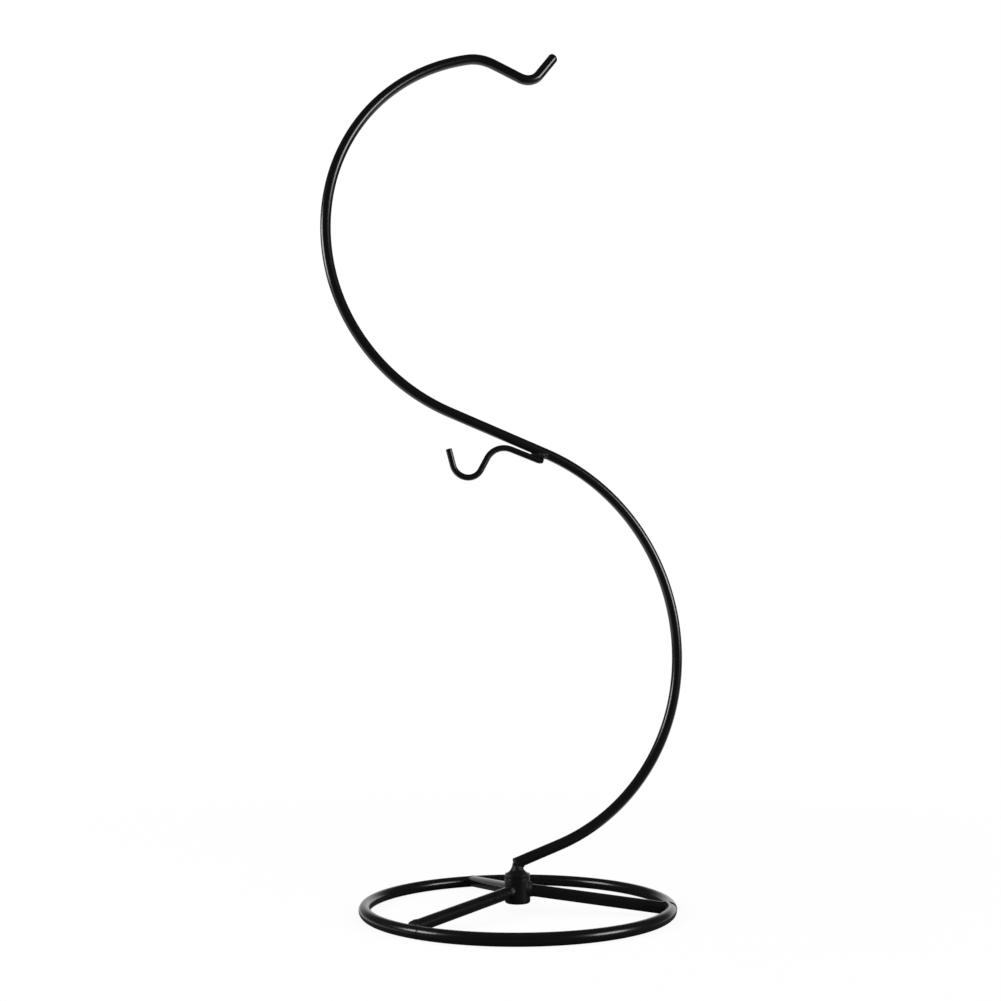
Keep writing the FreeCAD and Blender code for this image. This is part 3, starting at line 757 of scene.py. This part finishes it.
class STAND_OT_base_ring(StandOperator, bpy.types.Operator):
    """Round wire bent to a ring, open only where its ends are welded together"""

    bl_idname = "stand.base_ring"
    bl_label = "Base ring"

    def execute(self, context):
        """Rows of the ring's wire from one end to the other, closer together at the step.

        A fine slanted step crosses the wire where the distance s past it is nothing: on the upper outer
        side r loses height exp(s / length) in front of it and depth exp(-(s / line)^2) at its foot.
        """
        base = context.scene.stand_base
        rounding = 0.08 * MM
        finer_from, finer_to = -0.6 * MM, 12 * MM
        most_worn = 0.5
        seam = base.seam_width / base.ring_radius
        length = base.ring_radius * (FULL_TURN - seam)
        even, radius = rounded_ends(length, base.wire / 2, rounding, rounding, RING_SPACING)
        step = base.ring_radius * (base.step_azimuth - base.seam_azimuth - seam / 2)
        finer = step + np.arange(finer_from, finer_to, FINE_SPACING)
        along = np.sort(np.concatenate([even, finer]))
        radius = np.interp(along, even, radius)[:, None]
        bearing = (base.seam_azimuth + seam / 2 + along / base.ring_radius)[:, None]
        turn = around(WIRE_COLUMNS)
        inner = np.clip(0.35 - np.cos(turn), 0, 1) ** 2
        upper_outer = np.clip(0.6 - np.sin(turn), 0, 1) * np.clip(1 + 2.2 * np.cos(turn), 0, 1)
        past = along[:, None] - step - base.step_slant * inner
        lower = base.step_height * np.exp(np.minimum(past, 0) / base.step_length) * (past < 0)
        line = base.step_depth * np.exp(-((past / base.step_line) ** 2))
        rows = ring_rows(base, bearing, radius - upper_outer * (lower + line))
        worn = most_worn * np.clip(np.sin(turn), 0, 1) ** 6 * np.ones_like(bearing)
        make_piece("base_ring", rows, wire_paint(), "base", worn)
        return {"FINISHED"}


class STAND_OT_ring_seam(StandOperator, bpy.types.Operator):
    """Butt weld that closes the ring, dressed flush but for a fine line across it"""

    bl_idname = "stand.ring_seam"
    bl_label = "Ring seam weld"

    def execute(self, context):
        """Rows of the ring's wire, less the groove's depth times exp(-(s / width)^2) at s from its middle.

        The distance s is a share of half the weld, and the groove's middle wanders round the wire.
        """
        base = context.scene.stand_base
        groove_width = 0.2
        dressed, uneven = 0.02 * MM, 0.01 * MM
        seam = base.seam_width / base.ring_radius
        across = np.linspace(-1, 1, SEAM_ROWS)[:, None]
        bearing = base.seam_azimuth + across * seam / 2
        turn = around(WIRE_COLUMNS)
        wander = 0.12 * np.sin(3 * turn + 0.7) + 0.06 * np.sin(7 * turn)
        groove = base.seam_groove * np.exp(-(((across - wander) / groove_width) ** 2))
        radius = base.wire / 2 - dressed - groove + uneven * lumps(turn, 9 * across)
        make_piece("ring_seam_weld", ring_rows(base, bearing, radius), wire_paint(), "base")
        return {"FINISHED"}


class STAND_OT_spokes(StandOperator, bpy.types.Operator):
    """Three straight wires from the socket's wall down to the ring, coped at both ends"""

    bl_idname = "stand.spokes"
    bl_label = "Spokes"

    def execute(self, context):
        """Rows round the spoke's line, shared evenly between where each line beside it starts and ends."""
        base, weld = context.scene.stand_base, context.scene.stand_weld
        turn = around(WIRE_COLUMNS)
        shares = np.linspace(0, 1, SPOKE_ROWS)[:, None]
        for spoke, name in enumerate(SPOKE_NAMES):
            start = meets_socket(base, spoke, base.wire / 2, turn, base.root_gap)
            cut = spoke_cut(base, weld, spoke, turn)
            end = meets_ring(base, spoke, cut, base.wire / 2, turn, base.root_gap)
            rows = spoke_rows(base, spoke, start + shares * (end - start), base.wire / 2, turn)
            make_piece(f"spoke_{name}", rows, wire_paint(), "base")
        return {"FINISHED"}


class STAND_OT_socket_welds(StandOperator, bpy.types.Operator):
    """Rippled beads round the spokes' inner ends, on the socket's wall"""

    bl_idname = "stand.socket_welds"
    bl_label = "Socket welds"

    def execute(self, context):
        """A closed section carried round the spoke.

        Its back is reach sin^2 v along the spoke and rise cos^2 v up the wall, where the rise is most on
        top and less below, swollen by lumps and by ripples sin(count a + v). It comes back a little below
        the two surfaces it joins.
        """
        base, weld = context.scene.stand_base, context.scene.stand_weld
        ripples = 15
        turn = around(WELD_COLUMNS)
        sunk = -0.08 * MM * np.ones_like(turn)
        quarter = np.linspace(0, QUARTER_TURN, BEAD_ROWS)[:, None]
        for spoke, name in enumerate(SPOKE_NAMES):
            uneven = 1 + 2 * weld.lump * lumps(turn + 2.1 * spoke, 1.7 * quarter + spoke)
            ripple = np.sin(ripples * turn + 1.4 * quarter + spoke) * np.sin(2 * quarter)
            ripple = 0.6 * weld.ripple * ripple
            along = weld.socket_reach * np.sin(quarter) ** 2 * uneven + ripple
            rise = weld.socket_rises[spoke] * (0.65 + 0.35 * np.sin(turn))
            above = rise * np.cos(quarter) ** 2 * uneven + ripple
            along = np.concatenate([along, [0.9 * along[-1], 0.5 * along[-1], sunk, sunk]])
            above = np.concatenate([above, [sunk, sunk, sunk, 0.9 * above[0]]])
            height = base.wire / 2 + above
            distance = meets_socket(base, spoke, height, turn, 0) + along
            rows = spoke_rows(base, spoke, distance, height, turn)
            make_piece(f"socket_weld_{name}", rows, weld_paint(), "base", ring=True)
        return {"FINISHED"}


class STAND_OT_rim_welds(StandOperator, bpy.types.Operator):
    """Beads round the spokes' outer ends that run down onto the ring's wire"""

    bl_idname = "stand.rim_welds"
    bl_label = "Rim welds"

    def execute(self, context):
        """A barrel round the spoke's slanted end that closes in a rounded nose inside the ring's wire.

        Its height grows from just inside the spoke to the spoke's radius plus rise, by sin^0.8 of a quarter
        turn. Beyond the slanted end it is that times sqrt(1 - u^2), at the share u of the nose's length.
        """
        base, weld = context.scene.stand_base, context.scene.stand_weld
        ripples, closed = 13, 0.999
        turn = around(WELD_COLUMNS)
        back = np.linspace(0, 1, BARREL_ROWS)[:, None]
        nose = np.sin(np.linspace(0, QUARTER_TURN, NOSE_ROWS))[1:, None]
        full = base.wire / 2 + weld.rim_rise
        sunk = base.wire / 2 - 0.06 * MM
        height = np.concatenate([
            sunk + (full - sunk) * np.sin(QUARTER_TURN * back) ** 0.8,
            full * np.sqrt(1 - closed * nose**2),
        ])
        swell = np.concatenate([back, 1 - nose**4])
        for spoke, name in enumerate(SPOKE_NAMES):
            cut = spoke_cut(base, weld, spoke, turn)
            end = spoke_end(base, spoke) + weld.rim_ends[spoke]
            distance = np.concatenate([cut + (back - 1) * weld.rim_back, cut + nose * (end - cut)])
            along = (distance - end) / MM
            uneven = 1 + weld.lump * swell * lumps(turn + 1.3 * spoke, 0.9 * along + spoke)
            ripple = 0.7 * weld.ripple * swell * np.sin(ripples * turn + 2.2 * along + 2 * spoke)
            rows = spoke_rows(base, spoke, distance, height * uneven + ripple, turn)
            make_piece(f"rim_weld_{name}", rows, weld_paint(), "base")
        return {"FINISHED"}


class STAND_OT_hub_socket(StandOperator, bpy.types.Operator):
    """Short round sleeve with a rounded lower rim and a threaded bore"""

    bl_idname = "stand.hub_socket"
    bl_label = "Hub socket"

    def execute(self, context):
        """An outline turned about the axis: up the outside, in over the top, down the threaded bore.

        The thread fades evenly to the plain bore over its run-out above the foot.
        """
        base = context.scene.stand_base
        edge, lead_edge = 0.15 * MM, 0.04 * MM
        below_lead, above_foot, run_out = 0.2 * MM, 0.3 * MM, 0.8 * MM
        foot_edge, foot_rise, foot_out = 0.05 * MM, 0.12 * MM, 0.2 * MM
        wall, corner, low, top = base.socket / 2, base.socket_corner, base.socket_lift, socket_top(base)
        bore, lead = base.bore / 2, base.bore_chamfer
        rim = arc((wall - corner, low + corner), corner, -QUARTER_TURN, 0, CORNER_ROWS)
        side_height = np.linspace(low + corner, top - edge, SIDE_ROWS)[1:-1]
        side = np.stack([np.full_like(side_height, wall), side_height], axis=1)
        shoulder = arc((wall - edge, top - edge), edge, 0, QUARTER_TURN, ROUNDING_ROWS)
        mouth = [[bore + lead + edge, top], [bore + lead, top - lead_edge], [bore + lead_edge, top - lead]]
        foot = np.array([[bore + foot_edge, low + foot_rise], [bore + foot_out, low]])
        height = np.arange(top - lead - below_lead, low + above_foot, -FINE_SPACING)
        fade = np.clip((height - low) / run_out, 0, 1)[:, None]
        cut = thread(bore, height, -base.thread_depth, base.thread_pitch) + base.thread_depth
        rows = np.concatenate([
            turned_rows(*np.concatenate([rim, side, shoulder, mouth]).T),
            turned_rows(bore + (cut - bore) * fade, height[:, None]),
            turned_rows(*foot.T),
        ])
        make_piece("hub_socket", rows, turned_paint(), "base", ring=True)
        return {"FINISHED"}


class STAND_OT_screw_stud(StandOperator, bpy.types.Operator):
    """Turned stud: threaded shank, shoulder collar and trumpet-shaped neck"""

    bl_idname = "stand.screw_stud"
    bl_label = "Screw stud"

    def execute(self, context):
        """An outline turned about the axis, its shank's radius waved by the thread up to a plain relief."""
        base, upright = context.scene.stand_base, context.scene.stand_upright
        edge, first_thread, last_thread, relief_height = 0.12 * MM, 0.05 * MM, 0.9 * MM, 0.7 * MM
        shoulder = socket_top(base) + upright.seat_clearance
        low, top = shoulder - upright.shank_length, shoulder + upright.collar_height
        shank, collar = upright.shank / 2, upright.collar / 2
        tip = turned_rows(np.array([0.3 * shank, shank - upright.shank_chamfer]), low)
        height = np.arange(low + first_thread, shoulder - last_thread, FINE_SPACING)
        chamfer = np.clip((height - low) / upright.shank_chamfer, 0, 1)[:, None]
        ceiling = shank - upright.shank_chamfer * (1 - chamfer)
        cut = thread(shank - base.thread_depth, height, base.thread_depth, base.thread_pitch)
        threaded = turned_rows(np.minimum(cut, ceiling), height[:, None])
        relief = shank - 0.9 * base.thread_depth
        out, up = flare(base, upright)
        begin = np.arctan2(top - up, collar - out) % FULL_TURN
        finish = np.pi + np.arcsin((up - neck_top(upright)) / upright.neck_flare)
        body = np.concatenate([
            [[relief, shoulder - relief_height], [relief, shoulder]],
            arc((collar - edge, shoulder + edge), edge, -QUARTER_TURN, 0, ROUNDING_ROWS),
            arc((collar - edge, top - edge), edge, 0, 0.3 * np.pi, ROUNDING_ROWS),
            arc((out, up), upright.neck_flare, begin, finish, NECK_ROWS)[1:],
        ])
        rows = np.concatenate([tip, threaded, turned_rows(*body.T)])
        make_piece("screw_stud", rows, turned_paint(), "upright")
        return {"FINISHED"}


class STAND_OT_foot_weld(StandOperator, bpy.types.Operator):
    """Weld metal that carries the neck's flare up round the rod's cut end"""

    bl_idname = "stand.foot_weld"
    bl_label = "Foot weld"

    def execute(self, context):
        """Rows round the axis that rise unevenly: v times the rise of each bearing above the neck.

        The radius follows the neck's flare, with lumps and ripples, and swells out under the rod.
        """
        base, upright, weld = context.scene.stand_base, context.scene.stand_upright, context.scene.stand_weld
        sink, crown_height = 0.06 * MM, 0.15 * MM
        higher_behind, higher_in_three = 1.0 * MM, 0.25 * MM
        wider_under_rod, uneven = 0.9 * MM, 0.06 * MM
        turn = around(WELD_COLUMNS)
        towards_rod = np.cos(turn)
        share_up = np.linspace(0, 1, FOOT_ROWS)[:, None]
        rise = weld.foot_rise + higher_behind * np.clip(-towards_rod, 0, 1) ** 2
        rise = rise + higher_in_three * np.sin(3 * turn)
        height = neck_top(upright) - sink + share_up * rise
        out, up = flare(base, upright)
        reach = np.minimum(np.abs(up - height), upright.neck_flare)
        radius = out - np.sqrt(upright.neck_flare**2 - reach**2)
        radius = radius + wider_under_rod * np.clip(towards_rod, 0, 1) ** 2 * share_up**4
        radius = radius + uneven * lumps(turn, 5 * share_up) * np.sin(np.pi * share_up) ** 0.5
        radius = radius + 0.5 * weld.ripple * np.sin(9 * turn + 7 * share_up) * share_up
        close = np.linspace(1, 0.1, ROUNDING_ROWS)[1:, None]
        crown = turned_rows(radius[-1] * close, height[-1] + crown_height * (1 - close), WELD_COLUMNS)
        rows = np.concatenate([turned_rows(radius, height, WELD_COLUMNS), crown])
        make_piece("foot_weld", rows, weld_paint(), "upright")
        return {"FINISHED"}


def hooked_wear(along, loaded, spread, inside, edges):
    """How thin the paint is on a hooked wire.

    At s from where the hook carries its load it is inside^3 exp(-(s / spread)^2), and at s from each end
    exp(-s / edge) is added.
    """
    resting = np.exp(-(((along - loaded) / spread) ** 2))[:, None] * np.clip(inside, 0, 1) ** 3
    cut = np.exp(-along / edges[0]) + np.exp((along - along[-1]) / edges[1])
    return resting + cut[:, None]


class STAND_OT_s_rod(StandOperator, bpy.types.Operator):
    """One round wire bent into the S, ending in the upper hook"""

    bl_idname = "stand.s_rod"
    bl_label = "S-shaped rod"

    def execute(self, context):
        """A circle carried along the bent line, with a small burr on the cut foot and a rounded tip."""
        upright = context.scene.stand_upright
        burr_height, burr_length = 0.16 * MM, 0.35 * MM
        into_hook, spread, edges = 8 * MM, 5 * MM, (0.3 * MM, 0.5 * MM)
        line = rod_line(upright)
        along, radius = rounded_ends(
            line.distances[-1], upright.rod / 2, upright.cut_rounding, upright.upper_tip_rounding, ROD_SPACING
        )
        turn = around(WIRE_COLUMNS)
        burr = np.clip(np.cos(turn - 0.3), 0, 1) ** 4 * np.exp(-along / burr_length)[:, None]
        rows = wire_rows(line, along, radius[:, None] + burr_height * burr)
        worn = hooked_wear(along, line.starts["upper_hook"] + into_hook, spread, np.cos(turn), edges)
        make_piece("s_rod", rows, wire_paint(), "upright", worn)
        return {"FINISHED"}


class STAND_OT_lower_hook(StandOperator, bpy.types.Operator):
    """Thinner wire: straight under the rod, over a crest, down a leg and round the hook"""

    bl_idname = "stand.lower_hook"
    bl_label = "Lower hook"

    def execute(self, context):
        """A circle carried along the bent line, its ends rounded and the welded one ground off below."""
        upright = context.scene.stand_upright
        into_hook, spread, edges = 8 * MM, 4 * MM, (0.3 * MM, 0.3 * MM)
        line = hook_line(upright)
        rounding = upright.cut_rounding
        along, radius = rounded_ends(
            line.distances[-1], upright.hook_wire / 2, rounding, rounding, HOOK_SPACING
        )
        turn = around(WIRE_COLUMNS)
        ground = np.clip(1 - along / upright.ground_length, 0, 1)[:, None] * np.clip(np.cos(turn), 0, 1) ** 2
        rows = wire_rows(line, along, radius[:, None] - upright.ground_depth * ground)
        worn = hooked_wear(along, line.starts["lower_hook"] + into_hook, spread, -np.cos(turn), edges)
        make_piece("lower_hook", rows, wire_paint(), "upright", worn)
        return {"FINISHED"}


class STAND_OT_hook_weld(StandOperator, bpy.types.Operator):
    """Rippled weld in the crease between the rod and the lower hook's straight end"""

    bl_idname = "stand.hook_weld"
    bl_label = "Hook weld"

    def execute(self, context):
        """An egg along the crease, its run turned from the rod's down towards the hook wire.

        Its half widths are shares sin t at -half length times cos t, swollen by lumps and ripples.
        """
        upright, weld = context.scene.stand_upright, context.scene.stand_weld
        pole, ripple_spacing = 0.04, 0.95
        centre, heading = beside_cross_run(upright, upright.hook_station + weld.hook_reach, weld.hook_below)
        heading = heading + weld.hook_turn
        half = weld.hook_length / 2
        start = np.array(centre) - half * np.array([np.cos(heading), np.sin(heading)])
        line = bent_line(start, heading, {"weld": (weld.hook_length, 0)}, MM)
        sweep = np.linspace(pole, np.pi - pole, HOOK_WELD_ROWS)
        distance = half * (1 - np.cos(sweep))
        turn = around(WELD_COLUMNS)
        stretch = distance[:, None] / MM
        full = np.sin(sweep)[:, None]
        swell = full * (1 + weld.lump * lumps(turn, 1.1 * stretch))
        ripple = np.sin(FULL_TURN * stretch / ripple_spacing + 0.9 * np.cos(2 * turn))
        ripple = weld.ripple * ripple * full
        deep, wide = weld.hook_depth / 2 * swell + ripple, weld.hook_width / 2 * swell + ripple
        rows = wire_rows(line, distance, deep, wide, WELD_COLUMNS)
        make_piece("hook_weld", rows, weld_paint(), "upright")
        return {"FINISHED"}


# Studio

# Ranges over which an amount goes from nothing to one: metres, or shares of the backdrop's half size
SHADOW_FADE = (0.12, 0.6)
TABLE_BEHIND = (-0.06, 0.02)
TABLE_OUTSIDE = (0.068, 0.08)
BACKDROP_FADE = (1.0, 0.25)

# Light and colour; an area lamp's energy is four times its face's area and radiance
FLOOR_GLOW = 0.91
MATTE_GREY = (0.1, 0.1, 0.1, 1)
WHITE = (1, 1, 1, 1)
LAMP_ENERGY = 4

# The camera's frame, in millimetres as Blender takes it
FRAME_WIDTH = 36


def heading_direction(heading, tilt=0.0):
    """A direction from its heading, +Y towards +X, and its tilt above the horizontal."""
    return Vector((np.sin(heading) * np.cos(tilt), np.cos(heading) * np.cos(tilt), np.sin(tilt)))


def flat_piece(name, corners, material):
    """One flat face of the stage."""
    mesh = bpy.data.meshes.new(name)
    mesh.from_pydata(corners, [], [tuple(range(len(corners)))])
    mesh.materials.append(material)
    piece = bpy.data.objects.new(name, mesh)
    bpy.context.scene.collection.objects.link(piece)


def camera_rays(tree):
    """One for what the camera sees, straight or through something clear, else nothing."""
    rays = add(tree, "ShaderNodeLightPath").outputs
    return calculate(tree, "MAXIMUM", rays["Is Camera Ray"], rays["Is Transmission Ray"])


def glossy_rays(tree):
    """One for what glossy paint mirrors, else nothing."""
    return add(tree, "ShaderNodeLightPath").outputs["Is Glossy Ray"]


def matte_and_light(tree, amount, matte, strength=1.0):
    """Light of its own in place of a matte surface, by an amount from nothing to one."""
    light = add(tree, "ShaderNodeEmission", {"Strength": strength}).outputs[0]
    both = add(tree, "ShaderNodeMixShader", {0: amount, 1: matte, 2: light})
    add(tree, "ShaderNodeOutputMaterial", {"Surface": both.outputs[0]})


class STAND_OT_studio(StandOperator, bpy.types.Operator):
    """White floor and backdrop, two softboxes and the camera"""

    bl_idname = "stand.studio"
    bl_label = "Studio"

    def execute(self, context):
        studio = context.scene.stand_studio
        self.set_floor(studio)
        self.set_backdrop(studio)
        self.set_world(context.scene, studio)
        for side in ("left", "right"):
            self.add_softbox(studio, side)
        self.add_camera(context.scene, studio)
        context.scene.view_settings.view_transform = "Standard"
        return {"FINISHED"}

    def set_floor(self, studio):
        """White to the camera, with a faint shadow near the stand; paint mirrors it behind the ring only."""
        material = bpy.data.materials.new("white_floor")
        tree = empty_tree(material)
        place = add(tree, "ShaderNodeTexCoord").outputs["Object"]
        away = add(tree, "ShaderNodeVectorMath", {0: place}, operation="LENGTH").outputs["Value"]
        deep = add(tree, "ShaderNodeSeparateXYZ", {0: place}).outputs["Y"]
        behind = ramp(tree, deep, *TABLE_BEHIND)
        beyond = calculate(tree, "MULTIPLY", behind, ramp(tree, away, *TABLE_OUTSIDE))
        mirrored = calculate(tree, "MULTIPLY", glossy_rays(tree), beyond)
        mirrored = calculate(tree, "MULTIPLY", mirrored, studio.table_level)
        seen = camera_rays(tree)
        strength = calculate(tree, "MULTIPLY_ADD", seen, FLOOR_GLOW, mirrored)
        glow = add(tree, "ShaderNodeEmission", {"Strength": strength}).outputs[0]
        matte = add(tree, "ShaderNodeBsdfDiffuse", {"Color": MATTE_GREY}).outputs[0]
        near = add(tree, "ShaderNodeAddShader", {0: matte, 1: glow}).outputs[0]
        matte_and_light(tree, calculate(tree, "MULTIPLY", seen, ramp(tree, away, *SHADOW_FADE)), near)
        half = studio.floor_size / 2
        corners = [(-half, -half, 0), (half, -half, 0), (half, half, 0), (-half, half, 0)]
        flat_piece("floor", corners, material)

    def set_backdrop(self, studio):
        """White to the camera, and to glossy paint in an oval that fades out towards its edge."""
        deep = studio.backdrop_distance
        across, up = studio.backdrop_middle
        wide, high = studio.backdrop_half
        material = bpy.data.materials.new("white_backdrop")
        tree = empty_tree(material)
        place = add(tree, "ShaderNodeTexCoord").outputs["Object"]
        centred = add(tree, "ShaderNodeVectorMath", {0: place, 1: (across, deep, up)}, operation="SUBTRACT")
        shares = {0: centred.outputs[0], 1: (wide, 1.0, high)}
        scaled = add(tree, "ShaderNodeVectorMath", shares, operation="DIVIDE").outputs[0]
        away = add(tree, "ShaderNodeVectorMath", {0: scaled}, operation="LENGTH").outputs["Value"]
        near = ramp(tree, away, *BACKDROP_FADE, interpolation_type="SMOOTHSTEP")
        mirrored = calculate(tree, "MULTIPLY", glossy_rays(tree), near)
        matte = add(tree, "ShaderNodeBsdfDiffuse", {"Color": MATTE_GREY}).outputs[0]
        matte_and_light(tree, calculate(tree, "MAXIMUM", camera_rays(tree), mirrored), matte)
        low = MM
        flat_piece("backdrop", [
            (across - wide, deep, low), (across + wide, deep, low),
            (across + wide, deep, up + high), (across - wide, deep, up + high),
        ], material)

    def set_world(self, scene, studio):
        """White to the camera, plain fill light to matte surfaces, and a darker room to glossy paint."""
        world = bpy.data.worlds.new("studio")
        scene.world = world
        tree = empty_tree(world)
        darker = studio.mirrored_level - studio.fill_level
        level = calculate(tree, "MULTIPLY_ADD", glossy_rays(tree), darker, studio.fill_level)
        dim = add(tree, "ShaderNodeBackground", {"Color": WHITE, "Strength": level}).outputs[0]
        white = add(tree, "ShaderNodeBackground", {"Color": WHITE}).outputs[0]
        both = add(tree, "ShaderNodeMixShader", {0: camera_rays(tree), 1: dim, 2: white})
        add(tree, "ShaderNodeOutputWorld", {"Surface": both.outputs[0]})

    def add_softbox(self, studio, side):
        """An area lamp that faces the stand's axis."""
        heading, distance, middle, width, height = (
            getattr(studio, f"{side}_{part}") for part in ("heading", "distance", "middle", "width", "height")
        )
        lamp = bpy.data.lights.new(f"{side}_softbox", "AREA")
        lamp.shape = "RECTANGLE"
        lamp.size, lamp.size_y = width, height
        lamp.energy = LAMP_ENERGY * width * height * studio.lamp_level
        holder = bpy.data.objects.new(f"{side}_softbox", lamp)
        holder.location = heading_direction(heading) * distance + Vector((0, 0, middle))
        holder.rotation_euler = (-heading_direction(heading)).to_track_quat("-Z", "Y").to_euler()
        bpy.context.scene.collection.objects.link(holder)

    def add_camera(self, scene, studio):
        """The photograph's point of view, from its place, heading, tilt and roll."""
        sight = heading_direction(studio.camera_heading, studio.camera_tilt)
        level = sight.cross(Vector((0, 0, 1))).normalized()
        upright = level.cross(sight)
        across = level * np.cos(studio.camera_roll) + upright * np.sin(studio.camera_roll)
        top = across.cross(sight)
        lens = bpy.data.cameras.new("camera")
        lens.sensor_width = FRAME_WIDTH
        lens.lens = studio.focal_length
        lens.clip_start = 10 * MM
        camera = bpy.data.objects.new("camera", lens)
        turned = Matrix((across, top, -sight)).transposed()
        camera.matrix_world = Matrix.Translation(studio.camera_place) @ turned.to_4x4()
        scene.collection.objects.link(camera)
        scene.camera = camera


PIECES = [
    STAND_OT_base_ring,
    STAND_OT_ring_seam,
    STAND_OT_spokes,
    STAND_OT_socket_welds,
    STAND_OT_rim_welds,
    STAND_OT_hub_socket,
    STAND_OT_screw_stud,
    STAND_OT_foot_weld,
    STAND_OT_s_rod,
    STAND_OT_lower_hook,
    STAND_OT_hook_weld,
    STAND_OT_studio,
]


class STAND_PT_build(bpy.types.Panel):
    """Lists the operators in the order in which they run"""

    bl_label = "Hanging stand"
    bl_idname = "STAND_PT_build"
    bl_space_type = "VIEW_3D"
    bl_region_type = "UI"
    bl_category = "Hanging stand"

    def draw(self, context):
        column = self.layout.column()
        for piece in PIECES:
            column.operator(piece.bl_idname)


GROUPS_OF_SIZES = {
    "stand_base": BaseSizes,
    "stand_upright": UprightSizes,
    "stand_weld": WeldSizes,
    "stand_paint": PaintLooks,
    "stand_studio": StudioSizes,
}
CLASSES = [*GROUPS_OF_SIZES.values(), *PIECES, STAND_PT_build]


def register():
    for made in CLASSES:
        bpy.utils.register_class(made)
    for name, group in GROUPS_OF_SIZES.items():
        setattr(bpy.types.Scene, name, bpy.props.PointerProperty(type=group))


def unregister():
    for name in GROUPS_OF_SIZES:
        delattr(bpy.types.Scene, name)
    for made in reversed(CLASSES):
        bpy.utils.unregister_class(made)


def main():
    register()
    for piece in PIECES:
        family, name = piece.bl_idname.split(".")
        getattr(getattr(bpy.ops, family), name)()


if __name__ == "__main__":
    main()
